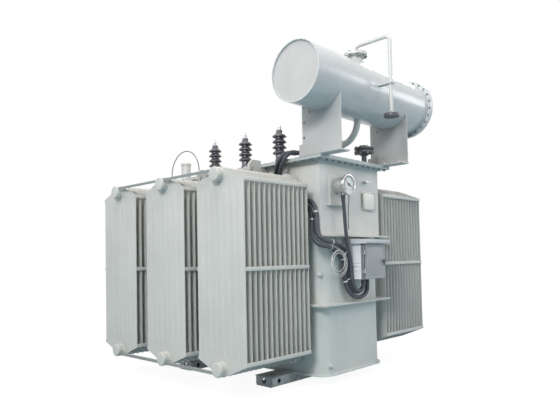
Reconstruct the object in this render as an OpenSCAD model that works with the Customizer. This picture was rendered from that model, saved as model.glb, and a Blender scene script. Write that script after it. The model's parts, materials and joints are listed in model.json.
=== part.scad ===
// Oil-filled power transformer: ribbed tank on two skids, six panel radiators,
// a cross-mounted conservator, bushings on the cover and a terminal box on the end wall.
// Millimetres. X runs along the tank, Y across it, Z up from the ground.

/* [Tank] */
// Length of the tank over its end walls
tank_l = 1640; // [1600:10:2000]
// Width of the tank over its side walls
tank_w = 730; // [650:5:900]
// Thickness of the tank walls
wall_t = 8; // [6:1:12]
// Height of the lower wall, from the base plate to the upper stiffener
lower_wall_h = 960; // [900:5:1050]
// Height of the upper wall, from the upper stiffener to the flange
upper_wall_h = 528; // [500:2:600]
// Outside radius of the lower wall's upright corners
corner_r = 100; // [60:5:150]
// Height of the lower stiffener above the base plate
lower_ring_h = 476; // [420:2:560]
// Thickness of the flat stiffener rings
ring_t = 12; // [8:1:16]
// How far the stiffener rings stand out from the wall
ring_over = 55; // [40:1:70]
// Thickness of the tank's top flange
flange_t = 12; // [10:1:16]
// Thickness of the bolted cover
cover_t = 12; // [10:1:18]
// How far the flange and the cover stand out from the wall
flange_over = 70; // [55:1:80]
// Thickness of the base plate
base_t = 12; // [10:1:20]
// How far the base plate stands out from the wall
base_over = 20; // [10:1:30]

/* [Skids] */
// Distance between the middles of the two skids
skid_gauge = 910; // [850:5:1200]
// Width of a skid channel
skid_w = 160; // [140:2:180]
// Height of a skid channel
skid_h = 65; // [60:1:90]
// Length of a skid
skid_l = 1170; // [1140:10:1300]
// Wall of a skid channel and of its end plates
skid_t = 8; // [6:1:10]
// Outside radius of the channel's lower edges
skid_edge_r = 14; // [10:1:18]
// Thickness of the plate on top of a skid
skid_plate_t = 5; // [4:1:8]
// How far that plate stands out on each side
skid_plate_over = 8; // [4:1:12]
// Distance between the two anchor holes of a skid
anchor_gauge = 1000; // [940:10:1040]
// Radius of an anchor hole in the channel's web
anchor_r = 13; // [9:1:16]
// Radius of the access hole above an anchor hole
access_r = 26; // [20:1:34]
// Radius of the towing hole in an end plate
tow_r = 19; // [12:1:22]
// Radius of the lashing hole in a channel's side
lash_r = 17; // [10:1:20]
// Distance of the lashing hole from the skid's end
lash_from_end = 72; // [50:1:120]

/* [Radiators] */
// Distance between neighbouring radiators
rad_pitch = 600; // [540:5:640]
// Place of the middle radiator along the tank
rad_shift = -30; // [-60:5:20]
// Number of panels in a radiator
panel_n = 14; // [10:1:16]
// Distance from panel to panel
panel_pitch = 45; // [40:1:50]
// Width of a panel
panel_w = 455; // [400:5:500]
// Thickness of a panel over its flutes
panel_t = 10; // [8:0.5:14]
// Thickness of a panel at its seams
seam_t = 5; // [3:0.5:6]
// Height of a panel's straight sides
panel_side_h = 1150; // [1000:10:1200]
// Rise from the top of the straight side to the middle of the header
shoulder_h = 36; // [24:1:50]
// Number of flutes pressed across a panel
flute_n = 7; // [5:1:9]
// Flat seam between neighbouring flutes
flute_gap = 12; // [8:1:20]
// Width of a flute's sloping side
flute_slope = 9; // [5:1:12]
// Flat seam along a panel's edges
flute_margin = 16; // [10:1:30]
// Bare height above and below the flutes
flute_end = 65; // [40:5:90]
// Radius of the header pipes
header_r = 44.5; // [38:0.5:52]
// Height of the lower header above the ground
header_low_z = 214; // [205:1:260]
// Radius of a panel's collar round the header
collar_r = 52; // [48:1:60]
// How far a header's end cap stands out from the outer panel
header_end = 47; // [40:1:60]
// How far the end cap stands out from the header pipe
cap_over = 3; // [1:0.5:6]
// Length of the end cap
cap_l = 30; // [20:1:36]
// Edge of the end cap
cap_edge = 6; // [3:1:10]
// Height of the flat bars that tie the panels' edges
bar_h = 25; // [15:1:35]
// Thickness of those bars
bar_t = 5; // [3:1:8]
// Gap from the tank wall to the first panel
rad_gap = 108; // [100:1:140]
// Radius of the header and valve flanges
pipe_flange_r = 66; // [60:1:80]
// Thickness of those flanges
pipe_flange_t = 14; // [10:1:16]
// Length of a valve from the tank wall to the header's flange
valve_l = 66; // [60:1:75]
// Radius of a valve's waist
valve_r = 50; // [46:1:58]
// Least gap between the upper headers' flanges and the tank's flange
header_clear = 30; // [20:1:60]
// Leg of the angle bars that tie the headers together
tie_leg = 18; // [14:1:24]
// Thickness of those angle bars
tie_t = 4; // [3:1:6]
// Distance of those bars from the headers' middle, away from the panels' middle
tie_rise = 26; // [16:1:32]

/* [Conservator] */
// Outside radius of the drum
drum_r = 205; // [180:1:230]
// Wall of the drum
drum_t = 6; // [4:1:10]
// Length of the drum on the near side of the tank's middle
drum_near = 690; // [600:5:750]
// Length of the drum on the far side
drum_far = 720; // [640:5:780]
// Distance of the drum's axis past the tank's end wall
drum_past = 75; // [40:1:90]
// Height of the drum's axis above the cover
drum_rise = 504; // [460:1:560]
// Thickness of the welded end plate
drum_end_t = 8; // [6:1:12]
// How far the end plate sits inside the drum
drum_end_inset = 12; // [6:1:20]
// Radius of the bolted end's flange
drum_flange_r = 235; // [232:1:250]
// Thickness of that flange and of its cover plate
drum_flange_t = 14; // [10:1:18]
// Distance between the outer faces of the two legs
leg_span = 860; // [780:5:870]
// Width of a leg
leg_w = 336; // [300:2:350]
// Thickness of a leg's plate
leg_t = 8; // [6:1:12]
// Depth of the two ribs of a leg
leg_rib = 36; // [20:1:50]
// Distance of a rib from the leg's edge
leg_rib_in = 70; // [50:1:100]
// How far a leg's heel and foot reach past its edge, towards the tank
heel_out = 30; // [15:1:45]
// Height of a leg's heel
heel_h = 75; // [40:1:100]
// Width of a leg's foot
foot_w = 104; // [80:1:130]
// Thickness of a leg's foot
foot_t = 10; // [8:1:14]
// Radius of the filler neck under its flange
neck_r = 50; // [42:1:60]
// Radius of the filler neck where it meets the drum
neck_base_r = 58; // [50:1:80]
// Height of the filler neck above the drum's top
neck_h = 65; // [50:1:100]
// Radius of the filler neck's flange and lid
neck_flange_r = 88; // [80:1:105]
// Thickness of that flange and of the lid
neck_flange_t = 10; // [8:1:14]
// Radius of the breather pipe
breather_r = 13.5; // [10:0.5:17]
// Bend radius of the breather pipe
breather_bend = 36; // [30:1:46]
// Height of the breather pipe above the lid
breather_rise = 55; // [50:1:80]
// Gap between the drum and the hanging breather pipe
breather_gap = 88; // [70:1:110]
// How far the breather hangs below the drum's axis
breather_drop = 238; // [180:1:280]
// Radius of the breather's end flanges
breather_flange_r = 55; // [40:1:60]
// Thickness of a breather end flange
breather_flange_t = 11; // [8:1:14]
// Width of the breather's clamp
clamp_w = 44; // [34:1:60]
// Thickness of the breather's clamp
clamp_t = 8; // [5:1:10]
// Radius of the oil pipe to the tank
oil_r = 24; // [20:1:30]
// Bend radius of the oil pipe under the drum
oil_bend = 160; // [120:2:165]
// Bend radius of the oil pipe above the cover
oil_elbow = 70; // [60:1:90]
// Height of the level oil pipe above the cover
oil_h = 134; // [125:1:150]
// Radius of the oil pipe's flanges
oil_flange_r = 52; // [42:1:60]
// Thickness of the oil pipe's flanges
oil_flange_t = 10; // [8:1:14]
// Length of the gas relay between its flanges
relay_l = 150; // [130:2:160]
// Radius of the gas relay's body
relay_r = 46; // [40:1:50]

/* [Cover fittings] */
// Distance between the high-voltage bushings
hv_pitch = 390; // [330:5:420]
// Distance of both bushing rows from the tank's middle
bushing_row = 220; // [190:5:240]
// Radius of a high-voltage shed
shed_r = 57; // [50:1:60]
// Radius of a high-voltage bushing's core
core_r = 33; // [28:1:36]
// Number of sheds
shed_n = 4; // [3:1:4]
// Distance from shed to shed
shed_pitch = 44; // [36:1:50]
// Height of the lowest shed above the cover
shed_first = 114; // [100:1:130]
// Radius of a bushing's clamping flange
hv_flange_r = 60; // [50:1:70]
// Height of a bushing's clamping flange
hv_flange_h = 18; // [12:1:24]
// Radius of a bushing's metal cap
hv_cap_r = 26; // [20:1:28]
// Height of a bushing's metal cap
hv_cap_h = 26; // [20:1:40]
// Radius of a terminal stud
stud_r = 6; // [5:0.5:10]
// Length of a terminal stud
stud_l = 42; // [30:1:60]
// Place of the middle high-voltage bushing along the tank
hv_shift = -80; // [-120:5:0]
// Distance between the low-voltage bushings
lv_pitch = 240; // [200:5:280]
// Number of low-voltage bushings
lv_n = 4; // [3:1:4]
// Radius of a low-voltage bushing
lv_r = 36; // [28:1:45]
// Height of a low-voltage bushing
lv_h = 64; // [50:1:80]
// Height of a low-voltage terminal palm
lv_palm_h = 48; // [36:1:60]
// Width of a low-voltage terminal palm
lv_palm_w = 50; // [40:1:60]
// Thickness of a low-voltage terminal palm
lv_palm_t = 12; // [8:1:16]
// Radius of the two holes in a palm
lv_hole_r = 5.5; // [4:0.5:7]
// Distance between the two holes of a palm
lv_hole_pitch = 25; // [20:1:28]
// Height of those holes above the palm's foot
lv_hole_up = 31; // [24:1:38]
// Radius of the tap changer's cap
tap_r = 42; // [36:1:46]
// Radius of the tap changer's foot
tap_foot_r = 50; // [46:1:60]
// Height of the tap changer's cap
tap_h = 165; // [140:5:190]
// Radius of the relief valve's cap
relief_r = 76; // [60:1:85]
// Radius of the relief valve's stem
relief_stem_r = 20; // [16:1:30]
// Height of the relief valve
relief_h = 160; // [130:1:180]
// Distance between the lifting lugs of one side
lug_gauge = 610; // [560:5:660]
// Thickness of a lifting lug
lug_t = 20; // [16:1:30]
// How far a lifting lug stands out from the cover's edge
lug_out = 122; // [100:1:140]
// Height of a lifting lug above the cover
lug_up = 25; // [10:1:40]
// Height of a lifting lug's root on the wall
lug_root_h = 122; // [90:1:150]
// Radius of a lifting lug's nose
lug_nose_r = 35; // [30:1:42]
// Depth of the eye's middle below the cover's top
lug_eye_down = 47; // [40:1:60]
// Radius of a lifting lug's eye
lug_eye_r = 16; // [10:1:20]
// Span of the wire loop on the cover
loop_span = 390; // [340:5:420]
// Height of the wire loop's straight ends
loop_leg = 45; // [30:1:80]
// Radius of the wire of the loop
loop_wire_r = 4; // [3:0.5:6]
// Distance of the wire loop from the cover's edge
loop_in = 10; // [8:1:14]

/* [End wall fittings] */
// Width of the terminal box
box_w = 250; // [220:2:290]
// Height of the terminal box
box_h = 255; // [220:1:280]
// Depth of the terminal box
box_d = 145; // [125:1:160]
// Sheet of the terminal box
box_t = 3; // [2:0.5:4]
// Height of the terminal box above the base plate
box_up = 653; // [620:1:660]
// Place of the terminal box across the end wall
box_y = 43; // [25:1:60]
// Depth of the rails that hold the box off the wall
rail_d = 12; // [8:1:20]
// Width of those rails
rail_w = 30; // [20:1:40]
// How far the box's roof stands out
roof_over = 28; // [22:1:34]
// Height of the box's roof at the wall
roof_h = 40; // [34:1:46]
// Height of the box's roof at its front
roof_front_h = 24; // [18:1:28]
// Height of the lip along the roof's front edge
roof_lip = 14; // [10:1:18]
// Thickness of the door
door_t = 14; // [10:1:18]
// Gap round the door
door_gap = 5; // [5:0.5:7]
// Radius of a hinge pin
pin_r = 4; // [3:0.25:5]
// Radius of a hinge barrel
barrel_r = 7; // [6:0.25:8]
// Height of one hinge barrel
barrel_h = 16; // [12:1:22]
// Distance of the hinges from the box's ends
hinge_in = 45; // [40:1:60]
// Length of the hinge leaf on the box
hinge_leaf = 16; // [10:1:20]
// Height of the lowest louvre above the box's floor
louvre_up = 66; // [50:1:90]
// Distance from louvre to louvre
louvre_pitch = 27; // [20:1:34]
// How far a louvre stands out
louvre_d = 5; // [3:0.5:7]
// Height of a louvre
louvre_h = 9; // [6:1:14]
// Radius of a cable gland
gland_r = 18; // [17:0.5:19]
// Length of a cable gland
gland_l = 30; // [24:1:30]
// Radius of the thermometer's case
dial_r = 60; // [50:1:66]
// Radius of the thermometer's bezel
bezel_r = 75; // [70:1:84]
// Depth of the thermometer's bezel
bezel_d = 18; // [12:1:26]
// Depth of the thermometer's case
dial_d = 112; // [90:1:130]
// Height of the thermometer above the upper stiffener
dial_up = 350; // [340:1:365]
// Place of the thermometer across the end wall
dial_y = -195; // [-205:1:-185]
// Width of the thermometer's bracket
bracket_w = 166; // [150:2:180]
// Offset of the bracket from the thermometer, across the wall
bracket_shift = 6; // [0:1:20]
// Height of the bracket above the thermometer's middle
bracket_over = 85; // [70:1:100]
// Height of the thermometer's bracket
bracket_h = 220; // [205:1:240]
// Depth of the thermometer's bracket
bracket_d = 20; // [14:1:26]
// Sheet of the thermometer's bracket
bracket_t = 6; // [4:1:8]
// Depth of the bracket's foot
bracket_foot = 45; // [30:1:50]
// Width of the bare rating plate
plate_w = 164; // [140:2:180]
// Height of the bare rating plate
plate_h = 140; // [120:2:160]
// Thickness of the bare rating plate
plate_t = 4; // [2:0.5:6]
// Gap behind the rating plate
plate_off = 12; // [6:1:16]
// Place of the rating plate across the end wall
plate_y = 220; // [205:1:235]
// Height of the rating plate's middle above the upper stiffener
plate_up = 267; // [240:1:300]
// Width of the earthing pad
pad_w = 56; // [40:1:70]
// Depth of the earthing pad
pad_d = 40; // [30:1:50]
// Thickness of the earthing pad
pad_t = 9; // [6:1:14]
// Place of the earthing pad across the end wall
pad_y = 175; // [150:1:200]
// Height of the earthing pad above the upper stiffener
pad_up = 405; // [380:1:420]
// Radius of the sampling plug on the near corner
plug_r = 11; // [8:1:14]
// Length of the sampling plug
plug_l = 42; // [30:1:50]
// Height of the sampling plug above the base plate
plug_up = 700; // [650:5:800]
// Radius of the capillary coil
coil_r = 90; // [70:1:92]
// Thickness of the capillary coil
coil_t = 16; // [12:1:18]

/* [Hidden] */
$fn = 48;
// Clearance of a curved seat
seat = 0.2;
// Running clearance of a hinge pin
pin_play = 0.08;
// Gap between the barrels of one hinge
barrel_play = 1;

// Levels
base_z = skid_h + skid_plate_t;
wall_z = base_z + base_t;
upper_ring_z = wall_z + lower_wall_h;
upper_wall_z = upper_ring_z + ring_t;
header_top_z = header_low_z + panel_side_h + 2 * shoulder_h;
flange_z = max(upper_wall_z + upper_wall_h, header_top_z + pipe_flange_r + header_clear);
cover_z = flange_z + flange_t;
top_z = cover_z + cover_t;
end_x = tank_l / 2;
side_y = tank_w / 2;

// Radiator levels and places
corner_low_z = header_low_z + shoulder_h;
corner_top_z = header_top_z - shoulder_h;
first_panel_y = side_y + rad_gap + panel_t / 2;
last_panel_y = first_panel_y + (panel_n - 1) * panel_pitch;
pack_out_y = last_panel_y + panel_t / 2;
header_in_y = side_y + valve_l;
header_out_y = pack_out_y + header_end;
cap_r = header_r + cap_over;
rad_places = [for (i = [-1 : 1]) rad_shift + i * rad_pitch];
shoulder_reach = norm([panel_w / 2, shoulder_h]);
tangent_a = acos(collar_r / shoulder_reach) - atan2(shoulder_h, panel_w / 2);
tangent = collar_r * [cos(tangent_a), sin(tangent_a)];
flute_pitch = (panel_w - 2 * flute_margin + flute_gap) / flute_n;

// Conservator levels and places
drum_x = end_x + drum_past;
drum_z = top_z + drum_rise;
neck_z = drum_z + drum_r + neck_h;
lid_z = neck_z + 2 * neck_flange_t;
breather_x = drum_x + drum_r + breather_gap;
breather_top_z = lid_z + breather_rise;
breather_end_z = drum_z - breather_drop;
oil_z = top_z + oil_h;
oil_end_x = drum_x - oil_bend;
relay_x = oil_end_x - oil_flange_t - relay_l;
relay_head = [80, 46, 50];
relay_head_y = -90;

// Bushing levels
hv_body_h = shed_first + (shed_n - 1) * shed_pitch + 26;
hv_places = [for (i = [-1 : 1]) hv_shift + i * hv_pitch];
lv_places = [for (i = [0 : lv_n - 1]) (i - (lv_n - 1) / 2) * lv_pitch];
tap_place = [tap_foot_r - end_x, tap_foot_r - side_y];
relief_place = [end_x - 30, 233];
loop_place = [-637, loop_in - side_y - flange_over];
lug_eye_y = side_y + flange_over + lug_out - lug_nose_r;
lug_eye_z = top_z - lug_eye_down;

// Radius of the conduits from the relay and from the thermometer
conduit_r = 16;
gauge_conduit_r = 13;

// Terminal box places
box_x = end_x + rail_d;
box_z = wall_z + box_up;
box_front_x = box_x + box_d;
box_near_y = box_y - box_w / 2;
door_x = box_front_x + door_gap;
hinge_x = door_x + door_t / 2;
hinge_y = box_near_y - barrel_r;
hinge_l = 2 * barrel_h + barrel_play;
hinge_zs = [box_z + hinge_in, box_z + box_h - hinge_in - hinge_l];
gland_offsets = [[70, 96], [76, 136], [98, 58]];
gland_places = [for (p = gland_offsets) [box_x, box_near_y] + p];
dial_z = upper_wall_z + dial_up;
dial_x = end_x + bracket_d;
dial_gland_l = 9;
plug_a = 52;
plug_place = [end_x - corner_r, corner_r - side_y] + corner_r * [cos(plug_a), -sin(plug_a)];

// Routes of the conduits, from the gas relay and the thermometer to the glands
conduit_sides = 12;
relay_route_a = [
    [668, -90, 1735], [668, -140, 1735], [634, -250, 1690], [624, -350, 1658], [612, -420, 1652],
    [594, -462, 1620], [570, -469, 1577], [530, -450, 1532], [480, -416, 1482], [453, -393, 1420],
    [453, -385, 1365], [480, -384, 1325], [545, -384, 1312], [720, -384, 1302], [772, -384, 1274],
    [797, -386, 1215], [806, -394, 1145], [834, -426, 1090], [868, -446, 1048], [894, -434, 1020],
    [897, -395, 1010], [888, -330, 1002], [878, -260, 988], [866, -190, 966], [857, -140, 934],
    [854, -113, 890], [854, -112, 810], [856, -106, 738], [865, -82, 674], [878, -44, 644],
    [892, -8, 654], [902, 14, 682], [902, 14, 705]];
relay_route_b = [
    [632, -90, 1735], [632, -140, 1735], [598, -250, 1690], [588, -350, 1658], [576, -420, 1653],
    [558, -464, 1630], [534, -471, 1596], [496, -453, 1560], [448, -418, 1510], [414, -395, 1440],
    [412, -386, 1355], [444, -384, 1290], [530, -384, 1275], [705, -384, 1256], [746, -385, 1220],
    [764, -389, 1160], [784, -415, 1092], [823, -449, 1036], [860, -456, 998], [887, -434, 977],
    [890, -386, 973], [872, -330, 964], [854, -280, 953], [851, -235, 938], [851, -195, 914],
    [853, -164, 886], [854, -148, 862], [854, -148, 800], [856, -142, 722], [866, -108, 646],
    [884, -50, 604], [902, 12, 614], [908, 50, 654], [908, 54, 682], [908, 54, 705]];
gauge_route = [
    [896, -195, 1335], [896, -195, 1290], [900, -193, 1200], [902, -190, 1120], [903, -182, 1050],
    [900, -166, 980], [894, -142, 920], [890, -122, 860], [890, -116, 800], [893, -112, 735],
    [903, -96, 680], [916, -64, 650], [926, -36, 660], [930, -24, 684], [930, -24, 705]];
coil_place = relay_route_b[26] + [conduit_r + coil_t / 2 + seat, -coil_r, -9];

paint = [0.76, 0.78, 0.77];
shade_paint = [0.62, 0.66, 0.66];
porcelain = [0.27, 0.25, 0.27];
steel = [0.70, 0.70, 0.72];
dark = [0.22, 0.23, 0.26];
copper = [0.72, 0.50, 0.34];

// A rectangle round the middle with true round corners
module round_rect(l, w, r) {
    square([l - 2 * r, w], center = true);
    square([l, w - 2 * r], center = true);
    for (x = [-1, 1], y = [-1, 1])
        translate([x * (l / 2 - r), y * (w / 2 - r)])
            circle(r = r);
}

// A cylinder along Y from y0 to y1
module y_cylinder(r, y0, y1) {
    translate([0, y0, 0])
        rotate([-90, 0, 0])
            cylinder(r = r, h = y1 - y0);
}

// A cylinder along X from x0 to x1
module x_cylinder(r, x0, x1) {
    translate([x0, 0, 0])
        rotate([0, 90, 0])
            cylinder(r = r, h = x1 - x0);
}

// A quarter bend in the XZ plane about the middle, from the +X side to the +Z side
module quarter_bend(r, bend) {
    rotate([90, 0, 0])
        rotate_extrude(angle = 90)
            translate([bend, 0])
                circle(r = r);
}

// The drum's envelope, for what is fitted to it
module drum_envelope() {
    translate([drum_x, 0, drum_z])
        y_cylinder(drum_r + seat, -drum_near, drum_far);
}

// Unit direction of a route at point i
function unit(v) = v / norm(v);
function along(route, i) =
    unit(route[min(i + 1, len(route) - 1)] - route[max(i - 1, 0)]);
// Carry a side direction along the route so that the tube doesn't twist
function square_to(v, t) = unit(v - (v * t) * t);
function carried(route, i) =
    i == 0
        ? square_to(abs(along(route, 0).z) > 0.9 ? [1, 0, 0] : [0, 0, 1], along(route, 0))
        : square_to(carried(route, i - 1), along(route, i));
function ring_of(route, r, i) =
    let (a = carried(route, i), b = cross(along(route, i), a))
    [for (k = [0 : conduit_sides - 1])
        let (w = 360 * k / conduit_sides)
        route[i] + r * (cos(w) * a + sin(w) * b)];

// A round tube swept along a route
module swept_tube(route, r) {
    n = conduit_sides;
    last = len(route) - 1;
    rings = [for (i = [0 : last]) each ring_of(route, r, i)];
    sides = [for (i = [0 : last - 1], k = [0 : n - 1])
        let (m = (k + 1) % n)
        [i * n + k, (i + 1) * n + k, (i + 1) * n + m, i * n + m]];
    near_end = [[for (k = [0 : n - 1]) k]];
    far_end = [[for (k = [n - 1 : -1 : 0]) last * n + k]];
    polyhedron(points = rings, faces = concat(near_end, sides, far_end));
}

// Skids: a channel on its back, closed by end plates and a top plate
module channel_profile() {
    difference() {
        union() {
            translate([-skid_w / 2, skid_edge_r])
                square([skid_w, skid_h - skid_edge_r]);
            translate([-skid_w / 2 + skid_edge_r, 0])
                square([skid_w - 2 * skid_edge_r, skid_edge_r]);
            for (x = [-1, 1])
                translate([x * (skid_w / 2 - skid_edge_r), skid_edge_r])
                    circle(r = skid_edge_r);
        }
        translate([-skid_w / 2 + skid_t, skid_t])
            square([skid_w - 2 * skid_t, skid_h]);
    }
}

module skid(x) {
    translate([x, 0, 0])
        difference() {
            union() {
                rotate([90, 0, 0])
                    linear_extrude(skid_l, center = true)
                        channel_profile();
                for (y = [-1, 1])
                    translate([0, y * (skid_l - skid_t) / 2, (skid_t + skid_h) / 2])
                        cube([skid_w - skid_t, skid_t, skid_h - skid_t], center = true);
                translate([0, 0, skid_h + skid_plate_t / 2])
                    cube([skid_w + 2 * skid_plate_over, skid_l, skid_plate_t], center = true);
            }
            for (y = [-1, 1]) {
                translate([0, y * anchor_gauge / 2, -1])
                    cylinder(r = anchor_r, h = skid_t + 2);
                translate([0, y * anchor_gauge / 2, skid_h - 1])
                    cylinder(r = access_r, h = skid_plate_t + 2);
                translate([0, 0, (skid_t + skid_h) / 2 + 2])
                    y_cylinder(tow_r, y * skid_l / 2 - 2 * skid_t, y * skid_l / 2 + 2 * skid_t);
                translate([0, y * (skid_l / 2 - lash_from_end), (skid_t + skid_h) / 2])
                    x_cylinder(lash_r, -skid_w, skid_w);
            }
        }
}

module skid_front() {
    color(shade_paint) skid(skid_gauge / 2);
}

module skid_rear() {
    color(shade_paint) skid(-skid_gauge / 2);
}

// Tank
module base_plate() {
    color(shade_paint)
        translate([0, 0, base_z])
            linear_extrude(base_t)
                round_rect(tank_l + 2 * base_over, tank_w + 2 * base_over, corner_r + base_over);
}

module tank_lower_wall() {
    color(paint)
        translate([0, 0, wall_z])
            linear_extrude(lower_wall_h)
                difference() {
                    round_rect(tank_l, tank_w, corner_r);
                    round_rect(tank_l - 2 * wall_t, tank_w - 2 * wall_t, corner_r - wall_t);
                }
}

module ring_outline() {
    square([tank_l + 2 * ring_over, tank_w + 2 * ring_over], center = true);
}

module lower_stiffener() {
    color(paint)
        translate([0, 0, wall_z + lower_ring_h])
            linear_extrude(ring_t)
                difference() {
                    ring_outline();
                    round_rect(tank_l + 2 * seat, tank_w + 2 * seat, corner_r + seat);
                }
}

module upper_stiffener() {
    color(paint)
        translate([0, 0, upper_ring_z])
            linear_extrude(ring_t)
                difference() {
                    ring_outline();
                    round_rect(tank_l - 2 * wall_t, tank_w - 2 * wall_t, corner_r - wall_t);
                }
}

module tank_upper_wall() {
    color(paint)
        translate([0, 0, upper_wall_z])
            linear_extrude(flange_z - upper_wall_z)
                difference() {
                    square([tank_l, tank_w], center = true);
                    square([tank_l - 2 * wall_t, tank_w - 2 * wall_t], center = true);
                }
}

module flange_outline() {
    square([tank_l + 2 * flange_over, tank_w + 2 * flange_over], center = true);
}

module tank_flange() {
    color(paint)
        translate([0, 0, flange_z])
            linear_extrude(flange_t)
                difference() {
                    flange_outline();
                    square([tank_l - 2 * wall_t, tank_w - 2 * wall_t], center = true);
                }
}

module tank_cover() {
    color(paint)
        translate([0, 0, cover_z])
            linear_extrude(cover_t)
                flange_outline();
}

// Radiators: pressed panels on two header pipes, built here on the -Y side
module panel_outline() {
    polygon([
        [panel_w / 2, corner_low_z], [panel_w / 2, corner_top_z],
        [tangent.x, header_top_z + tangent.y], [-tangent.x, header_top_z + tangent.y],
        [-panel_w / 2, corner_top_z], [-panel_w / 2, corner_low_z],
        [-tangent.x, header_low_z - tangent.y], [tangent.x, header_low_z - tangent.y]]);
    for (z = [header_low_z, header_top_z])
        translate([0, z])
            circle(r = collar_r);
}

// One side of the fluted section, from left to right at distance s from the middle
function flute_side(s) = [
    for (i = [0 : flute_n - 1])
        let (x = -panel_w / 2 + flute_margin + i * flute_pitch, w = flute_pitch - flute_gap)
        each [[x, s * seam_t / 2], [x + flute_slope, s * panel_t / 2],
              [x + w - flute_slope, s * panel_t / 2], [x + w, s * seam_t / 2]]];

module flute_section() {
    upper = flute_side(1);
    lower = flute_side(-1);
    count = len(upper) - 1;
    polygon(concat(upper, [for (i = [count : -1 : 0]) lower[i]]));
}

module panel() {
    rotate([90, 0, 0])
        linear_extrude(seam_t, center = true)
            panel_outline();
    translate([0, 0, corner_low_z + flute_end])
        linear_extrude(panel_side_h - 2 * flute_end)
            flute_section();
}

// Flange, pipe and end cap of a header, turned about Y
module header() {
    length = header_out_y - header_in_y;
    rotate([90, 0, 0])
        rotate_extrude()
            polygon([
                [0, 0], [pipe_flange_r, 0], [pipe_flange_r, pipe_flange_t], [header_r, pipe_flange_t],
                [header_r, length - cap_l], [cap_r, length - cap_l], [cap_r, length - cap_edge],
                [cap_r - cap_edge, length], [0, length]]);
}

module edge_bars() {
    depth = pack_out_y - first_panel_y + panel_t / 2;
    mid_z = (corner_low_z + corner_top_z) / 2;
    for (s = [-1, 1], z = [corner_low_z, mid_z, corner_top_z - bar_h])
        translate([s < 0 ? -panel_w / 2 - bar_t : panel_w / 2, -pack_out_y, z])
            cube([bar_t, depth, bar_h]);
}

module radiator(i) {
    color(paint)
        translate([rad_places[i], 0, 0]) {
            for (k = [0 : panel_n - 1])
                translate([0, -first_panel_y - k * panel_pitch, 0])
                    panel();
            for (z = [header_low_z, header_top_z])
                translate([0, -header_in_y, z])
                    header();
            edge_bars();
        }
}

module valve() {
    rotate([90, 0, 0])
        rotate_extrude()
            polygon([
                [0, 0], [header_r, 0], [header_r, pipe_flange_t], [pipe_flange_r, pipe_flange_t],
                [pipe_flange_r, 2 * pipe_flange_t], [valve_r, 2 * pipe_flange_t],
                [valve_r, valve_l - pipe_flange_t], [pipe_flange_r, valve_l - pipe_flange_t],
                [pipe_flange_r, valve_l], [0, valve_l]]);
}

module valves() {
    color(paint)
        for (x = rad_places, z = [header_low_z, header_top_z])
            translate([x, -side_y, z])
                valve();
}

module angle_section() {
    difference() {
        square(tie_leg);
        translate([tie_t, -1])
            square([tie_leg, tie_leg - tie_t + 1]);
    }
}

// Angle bars from header to header, just outside the outer panels
module tie_bars() {
    bar_y = -pack_out_y - (header_end + tie_leg) / 2;
    color(shade_paint)
        difference() {
            for (z = [header_low_z - tie_rise, header_top_z + tie_rise])
                translate([rad_places[0], bar_y, z - tie_leg / 2])
                    rotate([90, 0, 90])
                        linear_extrude(2 * rad_pitch)
                            angle_section();
            for (x = rad_places, z = [header_low_z, header_top_z])
                translate([x, 0, z])
                    y_cylinder(cap_r + seat, -header_out_y - 1, -pack_out_y);
        }
}

// Cover fittings
// A plate across the wall, under the flange and up past the cover's edge; built on the +Y side
module lug() {
    edge_y = side_y + flange_over + seat;
    rotate([90, 0, 90])
        linear_extrude(lug_t, center = true)
            difference() {
                union() {
                    polygon([
                        [side_y, flange_z - lug_root_h], [lug_eye_y, lug_eye_z - lug_nose_r],
                        [lug_eye_y + lug_nose_r, lug_eye_z],
                        [lug_eye_y + lug_nose_r, top_z + lug_up - lug_nose_r], [lug_eye_y, top_z + lug_up],
                        [edge_y, top_z + lug_up], [edge_y, flange_z], [side_y, flange_z]]);
                    translate([lug_eye_y, lug_eye_z])
                        circle(r = lug_nose_r);
                }
                translate([lug_eye_y, lug_eye_z])
                    circle(r = lug_eye_r);
            }
}

module lifting_lugs() {
    color(paint)
        for (x = [-1, 1], y = [0, 1])
            mirror([0, y, 0])
                translate([x * lug_gauge / 2, 0, 0])
                    lug();
}

// Turned porcelain with drooping sheds
function sheds(first, n, pitch, core, rim) = [
    for (i = [0 : n - 1])
        let (z = first + i * pitch)
        each [[core, z - 18], [rim - 7, z - 12], [rim - 1, z - 8], [rim, z - 4], [rim - 3, z + 1],
              [core + 6, z + 13], [core, z + 20]]];

module hv_bushing(i) {
    color(porcelain)
        translate([hv_places[i], -bushing_row, top_z])
            rotate_extrude()
                polygon(concat(
                    [[0, 0], [hv_flange_r, 0], [hv_flange_r, hv_flange_h], [core_r + 11, hv_flange_h],
                     [core_r + 8, hv_flange_h + 34], [core_r, hv_flange_h + 44]],
                    sheds(shed_first, shed_n, shed_pitch, core_r, shed_r),
                    [[core_r - 5, hv_body_h], [0, hv_body_h]]));
}

module hv_terminals() {
    cap_top = hv_body_h + hv_cap_h;
    color(steel)
        for (x = hv_places)
            translate([x, -bushing_row, top_z])
                rotate_extrude()
                    polygon([
                        [0, hv_body_h], [hv_cap_r, hv_body_h], [hv_cap_r, hv_body_h + hv_cap_h * 0.6],
                        [hv_cap_r * 0.6, cap_top], [stud_r, cap_top],
                        [stud_r, cap_top + stud_l], [0, cap_top + stud_l]]);
}

module lv_bushings() {
    color(porcelain)
        for (x = lv_places)
            translate([x, bushing_row, top_z])
                rotate_extrude()
                    polygon([
                        [0, 0], [lv_r, 0], [lv_r, lv_h * 0.3], [lv_r * 0.75, lv_h * 0.4],
                        [lv_r, lv_h * 0.6], [lv_r, lv_h * 0.75], [lv_r * 0.6, lv_h], [0, lv_h]]);
}

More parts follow.
